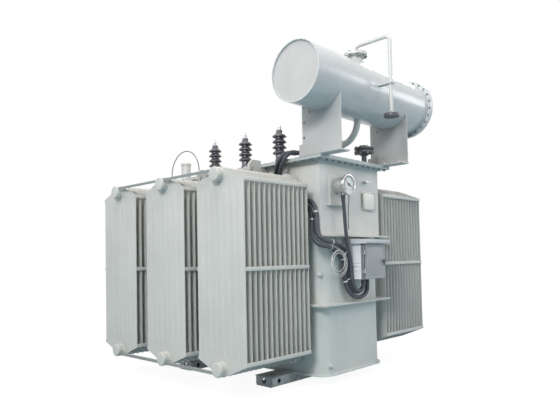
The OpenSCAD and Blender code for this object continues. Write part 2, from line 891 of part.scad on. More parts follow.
module lv_terminals() {
    color(copper)
        for (x = lv_places)
            translate([x, bushing_row, top_z + lv_h])
                difference() {
                    translate([0, 0, lv_palm_h / 2])
                        cube([lv_palm_w, lv_palm_t, lv_palm_h], center = true);
                    for (s = [-1, 1])
                        translate([s * lv_hole_pitch / 2, 0, lv_hole_up])
                            y_cylinder(lv_hole_r, -lv_palm_t, lv_palm_t);
                }
}

module tap_changer_cap() {
    color(paint)
        translate([tap_place.x, tap_place.y, top_z])
            rotate_extrude()
                polygon([
                    [0, 0], [tap_foot_r, 0], [tap_foot_r, 14], [tap_r, 14], [tap_r, tap_h - 22],
                    [tap_r + 5, tap_h - 20], [tap_r + 5, tap_h - 6], [tap_r - 4, tap_h], [0, tap_h]]);
}

module pressure_relief_valve() {
    color(dark)
        translate([relief_place.x, relief_place.y, top_z])
            rotate_extrude()
                polygon([
                    [0, 0], [relief_r * 0.8, 0], [relief_r * 0.8, 12], [relief_stem_r, 14],
                    [relief_stem_r, relief_h * 0.52], [relief_r, relief_h * 0.6], [relief_r, relief_h * 0.69],
                    [relief_r * 0.8, relief_h * 0.69], [relief_r * 0.8, relief_h * 0.78],
                    [relief_r, relief_h * 0.78], [relief_r, relief_h * 0.87], [relief_r * 0.5, relief_h * 0.9],
                    [relief_r * 0.2, relief_h], [0, relief_h]]);
}

module cover_wire_loop() {
    color(dark)
        translate([loop_place.x, loop_place.y, top_z]) {
            for (s = [-1, 1])
                translate([s * loop_span / 2, 0, 0])
                    cylinder(r = loop_wire_r, h = loop_leg);
            translate([0, 0, loop_leg])
                rotate([90, 0, 0])
                    rotate_extrude(angle = 180)
                        translate([loop_span / 2, 0])
                            circle(r = loop_wire_r);
        }
}

// Conservator
module conservator_drum() {
    color(paint)
        translate([drum_x, 0, drum_z])
            difference() {
                union() {
                    y_cylinder(drum_r, -drum_near, drum_far);
                    y_cylinder(drum_flange_r, drum_far - drum_flange_t, drum_far);
                }
                y_cylinder(drum_r - drum_t, -drum_near - 1, drum_far + 1);
            }
}

module conservator_end_plate() {
    color(paint)
        translate([drum_x, -drum_near + drum_end_inset, drum_z])
            y_cylinder(drum_r - drum_t - seat, 0, drum_end_t);
}

module conservator_cover_plate() {
    color(paint)
        translate([drum_x, drum_far, drum_z])
            y_cylinder(drum_flange_r, 0, drum_flange_t);
}

module filler_neck() {
    color(paint)
        difference() {
            translate([drum_x, 0, drum_z])
                rotate_extrude()
                    polygon([
                        [0, drum_r / 2], [neck_base_r, drum_r / 2], [neck_base_r, drum_r],
                        [neck_r, drum_r + neck_h], [neck_flange_r, drum_r + neck_h],
                        [neck_flange_r, drum_r + neck_h + 2 * neck_flange_t],
                        [0, drum_r + neck_h + 2 * neck_flange_t]]);
            drum_envelope();
        }
}

// Up from the lid, over the drum's side and down to two end flanges
module breather_pipe() {
    run = breather_x - drum_x - 2 * breather_bend;
    rise = breather_rise - breather_bend;
    low = breather_end_z + 2 * breather_flange_t;
    color(paint) {
        translate([drum_x, 0, lid_z])
            cylinder(r = breather_r, h = rise);
        translate([drum_x + breather_bend, 0, lid_z + rise])
            mirror([1, 0, 0])
                quarter_bend(breather_r, breather_bend);
        translate([drum_x + breather_bend, 0, breather_top_z])
            x_cylinder(breather_r, 0, run);
        translate([breather_x - breather_bend, 0, lid_z + rise])
            quarter_bend(breather_r, breather_bend);
        translate([breather_x, 0, low])
            cylinder(r = breather_r, h = lid_z + rise - low);
        translate([breather_x, 0, breather_end_z])
            cylinder(r = breather_flange_r, h = 2 * breather_flange_t);
    }
}

module breather_clamp() {
    reach = breather_x - drum_x + breather_r + 8;
    color(paint)
        difference() {
            translate([drum_x, -clamp_w / 2, drum_z])
                cube([reach, clamp_w, clamp_t]);
            drum_envelope();
            translate([breather_x, 0, breather_end_z])
                cylinder(r = breather_r + seat, h = 2 * breather_drop);
        }
}

// A plate cut to the drum, with a heel, a foot and two ribs; built on the near side
module leg(rib_y) {
    out_y = -leg_span / 2;
    plate_z = top_z + foot_t;
    difference() {
        translate([drum_x, out_y, plate_z]) {
            translate([-leg_w / 2, 0, 0])
                cube([leg_w, leg_t, drum_rise - foot_t]);
            for (s = [-1, 1])
                translate([s * (leg_w / 2 - leg_rib_in) - leg_t / 2, rib_y, 0])
                    cube([leg_t, leg_rib, drum_rise - foot_t]);
        }
        drum_envelope();
        translate([drum_x, 0, drum_z + drum_r / 2])
            cube([2 * leg_w, 2 * leg_span, 2 * drum_r], center = true);
    }
    translate([drum_x - leg_w / 2 - heel_out, out_y, plate_z])
        cube([heel_out, leg_t, heel_h]);
    translate([drum_x - leg_w / 2 - heel_out, out_y - leg_t, top_z])
        cube([leg_w + heel_out, foot_w, foot_t]);
}

module near_leg() {
    color(paint) leg(leg_t);
}

// Its ribs are on the outer face
module far_leg() {
    color(paint) mirror([0, 1, 0]) leg(-leg_rib);
}

// From the drum's underside round to the relay's flange, and from the relay down to the cover
module oil_pipe() {
    color(paint) {
        difference() {
            translate([drum_x, 0, oil_z + oil_bend])
                cylinder(r = oil_r, h = drum_z - oil_z - oil_bend);
            drum_envelope();
        }
        translate([oil_end_x, 0, oil_z + oil_bend])
            rotate([90, 0, 0])
                rotate_extrude(angle = -90)
                    translate([oil_bend, 0])
                        circle(r = oil_r);
        translate([0, 0, oil_z])
            x_cylinder(oil_flange_r, oil_end_x - oil_flange_t, oil_end_x);
        translate([0, 0, oil_z])
            x_cylinder(oil_flange_r, relay_x - oil_flange_t, relay_x);
        translate([relay_x - oil_flange_t, 0, oil_z - oil_elbow])
            mirror([1, 0, 0])
                quarter_bend(oil_r, oil_elbow);
        translate([relay_x - oil_flange_t - oil_elbow, 0, top_z])
            cylinder(r = oil_r, h = oil_h - oil_elbow);
        translate([relay_x - oil_flange_t - oil_elbow, 0, top_z])
            cylinder(r = oil_flange_r, h = oil_flange_t);
    }
}

module gas_relay() {
    mid_x = relay_x + relay_l / 2;
    color(dark)
        union() {
            translate([0, 0, oil_z]) {
                x_cylinder(oil_flange_r, relay_x, relay_x + oil_flange_t);
                x_cylinder(relay_r, relay_x + oil_flange_t, relay_x + relay_l - oil_flange_t);
                x_cylinder(oil_flange_r, relay_x + relay_l - oil_flange_t, relay_x + relay_l);
            }
            translate([mid_x, 0, oil_z])
                cylinder(r = relay_r * 0.8, h = relay_r + 22);
            translate([mid_x - relay_head.x / 2, relay_head_y, oil_z - relay_head.z / 2])
                cube(relay_head);
        }
}

// Terminal box on the end wall
module terminal_box() {
    color(steel) {
        difference() {
            translate([box_x, box_near_y, box_z])
                cube([box_d, box_w, box_h]);
            translate([box_x + box_t, box_near_y + box_t, box_z + box_t])
                cube([box_d, box_w - 2 * box_t, box_h - 2 * box_t]);
        }
        for (y = [box_near_y + rail_w, box_near_y + box_w - 2 * rail_w])
            translate([end_x, y, box_z + rail_w])
                cube([rail_d, rail_w, box_h - 2 * rail_w]);
        for (k = [0 : 2])
            translate([box_x + (box_d - hinge_leaf) / 2, box_near_y, box_z + louvre_up + k * louvre_pitch])
                rotate([90, 0, 90])
                    linear_extrude(box_d - 2 * hinge_leaf, center = true)
                        polygon([[0, 0], [-louvre_d, 0], [0, louvre_h]]);
    }
}

module terminal_box_roof() {
    depth = box_d + door_gap + door_t + roof_over;
    color(steel)
        translate([box_x, box_near_y - roof_over, box_z + box_h])
            rotate([90, 0, 180])
                mirror([1, 0, 0])
                    linear_extrude(box_w + 2 * roof_over)
                        polygon([
                            [0, 0], [depth - box_t, 0], [depth - box_t, roof_front_h - roof_lip],
                            [depth, roof_front_h - roof_lip], [depth, roof_front_h], [0, roof_h]]);
}

// A pin with the barrel that is welded to the box
module terminal_box_hinges() {
    color(steel)
        for (z = hinge_zs)
            translate([hinge_x, hinge_y, z]) {
                cylinder(r = barrel_r, h = barrel_h);
                cylinder(r = pin_r, h = hinge_l);
                translate([-door_t / 2 - door_gap - hinge_leaf, barrel_r - box_t, 0])
                    cube([hinge_leaf, box_t, barrel_h]);
                translate([-door_t / 2 - door_gap - box_t, -box_t / 2, 0])
                    cube([door_t / 2 + door_gap, barrel_r, barrel_h]);
            }
}

module terminal_box_door() {
    door_y = box_near_y + door_gap;
    color(steel) {
        translate([door_x, door_y, box_z + door_gap])
            difference() {
                cube([door_t, box_w - door_gap, box_h - 2 * door_gap]);
                translate([-1, box_t, box_t])
                    cube([door_t - box_t + 1, box_w - door_gap - 2 * box_t, box_h - 2 * door_gap - 2 * box_t]);
            }
        for (z = hinge_zs)
            translate([hinge_x, hinge_y, z + barrel_h + barrel_play])
                difference() {
                    union() {
                        cylinder(r = barrel_r, h = barrel_h);
                        translate([-box_t / 2, 0, 0])
                            cube([box_t, barrel_r + door_gap + box_t / 2, barrel_h]);
                    }
                    translate([0, 0, -1])
                        cylinder(r = pin_r + pin_play, h = barrel_h + 2);
                }
    }
}

module terminal_box_latch() {
    latch_y = box_near_y + box_w - 26;
    color(dark)
        translate([door_x + door_t, latch_y, box_z + box_h / 2]) {
            x_cylinder(11, 0, 7);
            translate([7, -6, -30])
                cube([8, 12, 42]);
        }
}

module cable_glands() {
    color(dark)
        for (p = gland_places)
            translate([p.x, p.y, box_z - gland_l])
                rotate_extrude()
                    polygon([
                        [0, 0], [gland_r - 1.5, 0], [gland_r, 3], [gland_r, 12], [gland_r - 3, 14],
                        [gland_r - 3, gland_l - 8], [gland_r, gland_l - 7], [gland_r, gland_l], [0, gland_l]]);
}

// Thermometer on its bracket
module thermometer_bracket() {
    bracket_y = dial_y + bracket_shift - bracket_w / 2;
    low_z = dial_z + bracket_over - bracket_h;
    color(paint) {
        translate([end_x + bracket_d - bracket_t, bracket_y, low_z])
            cube([bracket_t, bracket_w, bracket_h]);
        for (y = [bracket_y, bracket_y + bracket_w - bracket_t])
            translate([end_x, y, low_z])
                cube([bracket_d, bracket_t, bracket_h]);
        translate([end_x, bracket_y - 26, low_z - bracket_t])
            cube([bracket_foot, bracket_w + 36, bracket_t]);
    }
}

module thermometer() {
    color(dark)
        translate([dial_x, dial_y, dial_z]) {
            rotate([0, 90, 0])
                rotate_extrude()
                    polygon([
                        [0, 0], [dial_r - 6, 0], [dial_r, 6], [dial_r, dial_d - bezel_d],
                        [bezel_r, dial_d - bezel_d], [bezel_r, dial_d - 3], [bezel_r - 3, dial_d],
                        [bezel_r - 10, dial_d], [bezel_r - 10, dial_d - 6], [0, dial_d - 6]]);
            translate([dial_d / 2, 0, -dial_r - dial_gland_l])
                cylinder(r = gauge_conduit_r + 3, h = dial_gland_l + 14);
        }
}

// A bare plate on four pads
module rating_plate() {
    color(steel)
        translate([end_x, plate_y, upper_wall_z + plate_up]) {
            translate([plate_off, -plate_w / 2, -plate_h / 2])
                cube([plate_t, plate_w, plate_h]);
            for (y = [-1, 1], z = [-1, 1])
                translate([0, y * (plate_w / 2 - 12), z * (plate_h / 2 - 12)])
                    x_cylinder(7, 0, plate_off);
        }
}

// Earthing pad above the rating plate and a sampling plug on the near corner
module wall_fittings() {
    color(steel) {
        translate([end_x, pad_y - pad_w / 2, upper_wall_z + pad_up])
            cube([pad_d, pad_w, pad_t]);
        translate([plug_place.x, plug_place.y, wall_z + plug_up])
            rotate([0, 90, -plug_a]) {
                cylinder(r = plug_r, h = plug_l);
                translate([0, 0, plug_l * 0.4])
                    cylinder(r = plug_r * 1.6, h = plug_l * 0.35, $fn = 6);
            }
    }
}

module relay_conduits() {
    color(dark) {
        swept_tube(relay_route_a, conduit_r);
        swept_tube(relay_route_b, conduit_r);
    }
}

module gauge_conduit() {
    color(dark) swept_tube(gauge_route, gauge_conduit_r);
}

module capillary_coil() {
    color(steel)
        translate(coil_place)
            rotate([0, 90, 0])
                rotate_extrude()
                    translate([coil_r, 0])
                        circle(r = coil_t / 2);
}

skid_front();
skid_rear();
base_plate();
tank_lower_wall();
lower_stiffener();
upper_stiffener();
tank_upper_wall();
tank_flange();
tank_cover();
radiator(0);  // radiator_front_1
radiator(1);  // radiator_front_2
radiator(2);  // radiator_front_3
mirror([0, 1, 0]) radiator(0);  // radiator_back_1
mirror([0, 1, 0]) radiator(1);  // radiator_back_2
mirror([0, 1, 0]) radiator(2);  // radiator_back_3
valves();  // radiator_valves_front
mirror([0, 1, 0]) valves();  // radiator_valves_back
tie_bars();  // tie_bars_front
mirror([0, 1, 0]) tie_bars();  // tie_bars_back
lifting_lugs();
hv_bushing(0);  // hv_bushing_a
hv_bushing(1);  // hv_bushing_b
hv_bushing(2);  // hv_bushing_c
hv_terminals();
lv_bushings();
lv_terminals();
tap_changer_cap();
pressure_relief_valve();
cover_wire_loop();
conservator_drum();
conservator_end_plate();
conservator_cover_plate();
filler_neck();
breather_pipe();
breather_clamp();
near_leg();
far_leg();
oil_pipe();
gas_relay();
terminal_box();
terminal_box_roof();
terminal_box_hinges();
terminal_box_door();
terminal_box_latch();
cable_glands();
thermometer_bracket();
thermometer();
rating_plate();
wall_fittings();
relay_conduits();
gauge_conduit();
capillary_coil();
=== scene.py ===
import json
import math
import bmesh
import bpy
from mathutils import Matrix, Vector


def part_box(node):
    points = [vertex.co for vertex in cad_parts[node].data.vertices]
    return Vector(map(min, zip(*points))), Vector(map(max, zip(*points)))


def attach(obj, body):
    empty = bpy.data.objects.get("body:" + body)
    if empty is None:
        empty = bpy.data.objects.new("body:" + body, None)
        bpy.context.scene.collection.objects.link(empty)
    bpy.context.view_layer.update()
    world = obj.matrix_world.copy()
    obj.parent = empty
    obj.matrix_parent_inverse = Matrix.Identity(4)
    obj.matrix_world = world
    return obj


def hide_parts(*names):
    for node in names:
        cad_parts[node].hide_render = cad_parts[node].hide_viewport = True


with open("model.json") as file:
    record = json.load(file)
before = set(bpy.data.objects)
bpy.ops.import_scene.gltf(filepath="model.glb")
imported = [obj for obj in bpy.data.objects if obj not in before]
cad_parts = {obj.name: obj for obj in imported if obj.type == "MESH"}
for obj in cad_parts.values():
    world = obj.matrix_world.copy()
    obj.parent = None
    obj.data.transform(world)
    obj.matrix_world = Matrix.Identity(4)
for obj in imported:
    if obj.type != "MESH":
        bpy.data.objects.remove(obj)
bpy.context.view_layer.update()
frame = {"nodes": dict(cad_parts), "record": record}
nodes = frame["nodes"]
mainBody, doorBody = "transformer", "door"
print("frame loaded:", len(nodes), "CAD nodes")


# shader nodes are placed with their values, or with links where a value is a socket
def put(tree, kind, values=None, **settings):
    node = tree.nodes.new(kind)
    for key, value in settings.items():
        setattr(node, key, value)
    for key, value in (values or {}).items():
        setSocket(tree, node.inputs[key], value)
    return node


def setSocket(tree, socket, value):
    if isinstance(value, bpy.types.NodeSocket):
        tree.links.new(value, socket)
    else:
        socket.default_value = value


# camera, light and floor
cameraSpec = {"place": (3.1551, -3.2615, 0.9091), "azimuth": 43.2433, "pitch": 2.3839,
              "roll": -1.1810, "lens": 34.42, "sensor": 36, "shiftY": 0.0432, "farthest": 200}


def setCamera(spec):
    azimuth, pitch, roll = (math.radians(spec[key]) for key in ("azimuth", "pitch", "roll"))
    forward = Vector((-math.sin(azimuth) * math.cos(pitch), math.cos(azimuth) * math.cos(pitch),
                      math.sin(pitch)))
    level = Vector((math.cos(azimuth), math.sin(azimuth), 0))
    up = level.cross(forward)
    right = math.cos(roll) * level + math.sin(roll) * up
    top = -math.sin(roll) * level + math.cos(roll) * up
    data = bpy.data.cameras.new("photoCamera")
    data.lens = spec["lens"]
    data.sensor_width = spec["sensor"]
    data.sensor_fit = "HORIZONTAL"
    data.shift_y = spec["shiftY"]
    data.clip_end = spec["farthest"]
    camera = bpy.data.objects.new("photoCamera", data)
    turn = Matrix((right, top, -forward)).transposed().to_4x4()
    camera.matrix_world = Matrix.Translation(spec["place"]) @ turn
    bpy.context.scene.collection.objects.link(camera)
    bpy.context.scene.camera = camera


skySpec = {"colour": (0.88, 0.90, 0.93), "strength": 0.28}
lampSpec = {"key": {"place": (-1.5, -7.5, 6.0), "aim": (0.1, 0, 1.1), "size": 5.0, "watts": 182},
            "front": {"place": (3.3, -6.7, 4.6), "aim": (0.2, 0, 1.1), "size": 2.0, "watts": 285},
            "fill": {"place": (6.5, 1.5, 5.0), "aim": (0.5, 0, 1.2), "size": 5.0, "watts": 140},
            "side": {"place": (5.2, 6.9, 4.0), "aim": (0.9, 0.2, 1.7), "size": 2.4, "watts": 74},
            "top": {"place": (2.0, -2.4, 6.6), "aim": (0.6, 0, 1.6), "size": 2.5, "watts": 140},
            "back": {"place": (-2.0, 7.5, 6.0), "aim": (0, 0, 1.2), "size": 2.4, "watts": 220}}
floorSpec = {"size": 90, "colour": (0.28, 0.44, 0.52), "shade": 0.14, "nearWhite": 0.93,
             "near": 1.6, "far": 4.5}


def addLamp(name, spec):
    data = bpy.data.lights.new(name, "AREA")
    data.shape = "DISK"
    data.size = spec["size"]
    data.energy = spec["watts"]
    lamp = bpy.data.objects.new(name, data)
    lamp.location = spec["place"]
    aim = Vector(spec["aim"]) - Vector(spec["place"])
    lamp.rotation_euler = aim.to_track_quat("-Z", "Y").to_euler()
    bpy.context.scene.collection.objects.link(lamp)


def seenDirectly(tree):
    # 1 for what the camera, a reflection or glass shows, 0 for light
    path = put(tree, "ShaderNodeLightPath").outputs
    first = put(tree, "ShaderNodeMath", {0: path["Is Camera Ray"], 1: path["Is Transmission Ray"]},
                operation="MAXIMUM")
    second = put(tree, "ShaderNodeMath", {0: first.outputs[0], 1: path["Is Glossy Ray"]},
                 operation="MAXIMUM")
    return second.outputs[0]


def setSky(spec):
    world = bpy.data.worlds.new("paleSky")
    world.use_nodes = True
    tree = world.node_tree
    tree.nodes.clear()
    sky = put(tree, "ShaderNodeBackground", {"Color": (*spec["colour"], 1), "Strength": spec["strength"]})
    white = put(tree, "ShaderNodeBackground", {"Color": (1, 1, 1, 1), "Strength": 1})
    mix = put(tree, "ShaderNodeMixShader", {0: seenDirectly(tree), 1: sky.outputs[0], 2: white.outputs[0]})
    put(tree, "ShaderNodeOutputWorld", {0: mix.outputs[0]})
    bpy.context.scene.world = world


def addFloor(spec):
    bm = bmesh.new()
    bmesh.ops.create_grid(bm, x_segments=1, y_segments=1, size=spec["size"])
    mesh = bpy.data.meshes.new("paleFloor")
    bm.to_mesh(mesh)
    bm.free()
    floor = bpy.data.objects.new("paleFloor", mesh)
    bpy.context.scene.collection.objects.link(floor)
    material = bpy.data.materials.new("paleFloor")
    material.use_nodes = True
    tree = material.node_tree
    tree.nodes.clear()
    # light that falls on it goes back in the ground's colour
    plain = put(tree, "ShaderNodeBsdfDiffuse", {"Color": (*spec["colour"], 1)})
    # what the camera sees is white, with the object's shadow close to it
    place = put(tree, "ShaderNodeTexCoord").outputs["Object"]
    reach = put(tree, "ShaderNodeVectorMath", {0: place}, operation="LENGTH").outputs["Value"]
    level = put(tree, "ShaderNodeMapRange", {"Value": reach, "To Min": spec["nearWhite"],
                                             "From Min": spec["near"], "From Max": spec["far"]})
    white = put(tree, "ShaderNodeEmission", {"Color": (1, 1, 1, 1), "Strength": level.outputs[0]})
    shaded = put(tree, "ShaderNodeBsdfDiffuse", {"Color": (spec["shade"], spec["shade"], spec["shade"], 1)})
    seen = put(tree, "ShaderNodeAddShader", {0: white.outputs[0], 1: shaded.outputs[0]})
    mix = put(tree, "ShaderNodeMixShader", {0: seenDirectly(tree), 1: plain.outputs[0], 2: seen.outputs[0]})
    put(tree, "ShaderNodeOutputMaterial", {0: mix.outputs[0]})
    mesh.materials.append(material)


setCamera(cameraSpec)
setSky(skySpec)
for lampName, spec in lampSpec.items():
    addLamp(lampName + "Lamp", spec)
addFloor(floorSpec)
bpy.context.scene.view_settings.view_transform = "Standard"
print("camera, light and floor set")


# shared shader groups
def newGroup(name, inputs, outputs):
    group = bpy.data.node_groups.new(name, "ShaderNodeTree")
    for label, kind, value in inputs:
        socket = group.interface.new_socket(label, in_out="INPUT", socket_type=kind)
        socket.default_value = value
    for label, kind in outputs:
        group.interface.new_socket(label, in_out="OUTPUT", socket_type=kind)
    return group, put(group, "NodeGroupInput").outputs, put(group, "NodeGroupOutput").inputs


def blendColours(tree, share, under, over, how="MIX"):
    node = put(tree, "ShaderNodeMix", data_type="RGBA", blend_type=how)
    for socket, value in ((node.inputs[0], share), (node.inputs[6], under), (node.inputs[7], over)):
        setSocket(tree, socket, value)
    return node.outputs[2]


def spread(tree, value, low, high, toLow=0.0, toHigh=1.0):
    node = put(tree, "ShaderNodeMapRange", {"Value": value, "From Min": low, "From Max": high,
                                            "To Min": toLow, "To Max": toHigh})
    return node.outputs[0]


def times(tree, first, second):
    return put(tree, "ShaderNodeMath", {0: first, 1: second}, operation="MULTIPLY").outputs[0]


def plus(tree, first, second):
    return put(tree, "ShaderNodeMath", {0: first, 1: second}, operation="ADD").outputs[0]


def noise(tree, place, scale, detail, roughness=0.5):
    node = put(tree, "ShaderNodeTexNoise", {"Vector": place, "Scale": scale, "Detail": detail,
                                            "Roughness": roughness})
    return node.outputs[0]


groupOutputs = [("Colour", "NodeSocketColor"), ("Roughness", "NodeSocketFloat"),
                ("Height", "NodeSocketFloat")]


def buildPaintGroup():
    # paint that is cloudy, streaked by rain, splashed near the ground and dusty on top
    group, given, result = newGroup(
        "weatheredPaint",
        [("Colour", "NodeSocketColor", (0.57, 0.59, 0.57, 1)),
         ("Dirt Colour", "NodeSocketColor", (0.25, 0.23, 0.20, 1)),
         ("Dust Colour", "NodeSocketColor", (0.62, 0.60, 0.55, 1)),
         ("Streaks", "NodeSocketFloat", 0.2), ("Ground Dirt", "NodeSocketFloat", 0.4),
         ("Dust", "NodeSocketFloat", 0.4), ("Gloss Break", "NodeSocketFloat", 0.36)], groupOutputs)
    place = put(group, "ShaderNodeTexCoord").outputs["Object"]
    cloud = noise(group, place, scale=2.4, detail=5.0, roughness=0.6)
    speck = noise(group, place, scale=34.0, detail=4.0, roughness=0.65)
    peel = noise(group, place, scale=260.0, detail=2.0)
    stretched = put(group, "ShaderNodeMapping", {"Vector": place, "Scale": (17.0, 17.0, 0.9)}).outputs[0]
    runs = noise(group, stretched, scale=1.0, detail=4.0)
    height = put(group, "ShaderNodeSeparateXYZ", {0: place}).outputs[2]
    normal = put(group, "ShaderNodeNewGeometry").outputs["Normal"]
    facing = put(group, "ShaderNodeSeparateXYZ", {0: normal}).outputs[2]
    tone = spread(group, cloud, 0.3, 0.7, 0.93, 1.05)
    grey = put(group, "ShaderNodeCombineColor", {0: tone, 1: tone, 2: tone}).outputs[0]
    base = blendColours(group, 1.0, given["Colour"], grey, "MULTIPLY")
    streak = times(group, spread(group, runs, 0.53, 0.78), given["Streaks"])
    base = blendColours(group, streak, base, given["Dirt Colour"])
    splash = times(group, spread(group, height, 0.55, 0.02), spread(group, speck, 0.35, 0.7))
    base = blendColours(group, times(group, splash, given["Ground Dirt"]), base, given["Dirt Colour"])
    lying = times(group, spread(group, facing, 0.35, 0.95), spread(group, cloud, 0.25, 0.75, 0.4, 1.0))
    dusty = times(group, lying, given["Dust"])
    base = blendColours(group, dusty, base, given["Dust Colour"])
    rough = plus(group, given["Gloss Break"], spread(group, speck, 0.3, 0.7, -0.05, 0.07))
    group.links.new(base, result["Colour"])
    group.links.new(plus(group, rough, times(group, dusty, 0.35)), result["Roughness"])
    group.links.new(plus(group, times(group, peel, 0.35), speck), result["Height"])
    return group


def buildWearGroup():
    # metal, glaze or plastic with dull patches and a fine grain
    group, given, result = newGroup(
        "handledMetal",
        [("Colour", "NodeSocketColor", (0.5, 0.5, 0.5, 1)),
         ("Dull Colour", "NodeSocketColor", (0.3, 0.29, 0.28, 1)), ("Dullness", "NodeSocketFloat", 0.4),
         ("Grain Scale", "NodeSocketFloat", 60.0), ("Roughness", "NodeSocketFloat", 0.4)], groupOutputs)
    place = put(group, "ShaderNodeTexCoord").outputs["Object"]
    patch = noise(group, place, scale=22.0, detail=5.0, roughness=0.7)
    grain = noise(group, place, given["Grain Scale"], detail=3.0)
    share = times(group, spread(group, patch, 0.42, 0.68), given["Dullness"])
    group.links.new(blendColours(group, share, given["Colour"], given["Dull Colour"]), result["Colour"])
    rough = plus(group, given["Roughness"], spread(group, grain, 0.3, 0.7, -0.07, 0.1))
    group.links.new(rough, result["Roughness"])
    group.links.new(grain, result["Height"])
    return group


paintGroup = buildPaintGroup()
wearGroup = buildWearGroup()


# finishes
def rgb(red, green, blue):
    # a colour as it looks on screen, 0 to 255
    shares = [value / 255 for value in (red, green, blue)]
    return (*(((s + 0.055) / 1.055) ** 2.4 if s > 0.04045 else s / 12.92 for s in shares), 1)


def makeMaterial(name, group, values, shader, bump, bumpDepth=0.001):
    material = bpy.data.materials.new(name)
    material.use_nodes = True
    tree = material.node_tree
    tree.nodes.clear()
    effect = put(tree, "ShaderNodeGroup", node_tree=group)
    for key, value in values.items():
        effect.inputs[key].default_value = value
    relief = put(tree, "ShaderNodeBump", {"Height": effect.outputs["Height"], "Strength": bump,
                                          "Distance": bumpDepth})
    surface = put(tree, "ShaderNodeBsdfPrincipled",
                  {"Base Color": effect.outputs["Colour"], "Roughness": effect.outputs["Roughness"],
                   "Normal": relief.outputs[0], **shader})
    put(tree, "ShaderNodeOutputMaterial", {0: surface.outputs[0]})
    return material


def painted(name, colour, streaks=0.1, dirt=0.0, dust=0.3, gloss=0.36, bump=0.06, bumpDepth=0.001,
            coat=None):
    values = {"Colour": rgb(*colour), "Streaks": streaks, "Ground Dirt": dirt, "Dust": dust,
              "Gloss Break": gloss}
    return makeMaterial(name, paintGroup, values, coat or {}, bump, bumpDepth)


def worn(name, colour, dull, dullness=0.5, grain=120, roughness=0.4, bump=0.05, metal=0.0, coat=None):
    values = {"Colour": rgb(*colour), "Dull Colour": rgb(*dull), "Dullness": dullness, "Grain Scale": grain,
              "Roughness": roughness}
    return makeMaterial(name, wearGroup, values, {"Metallic": metal, **(coat or {})}, bump)


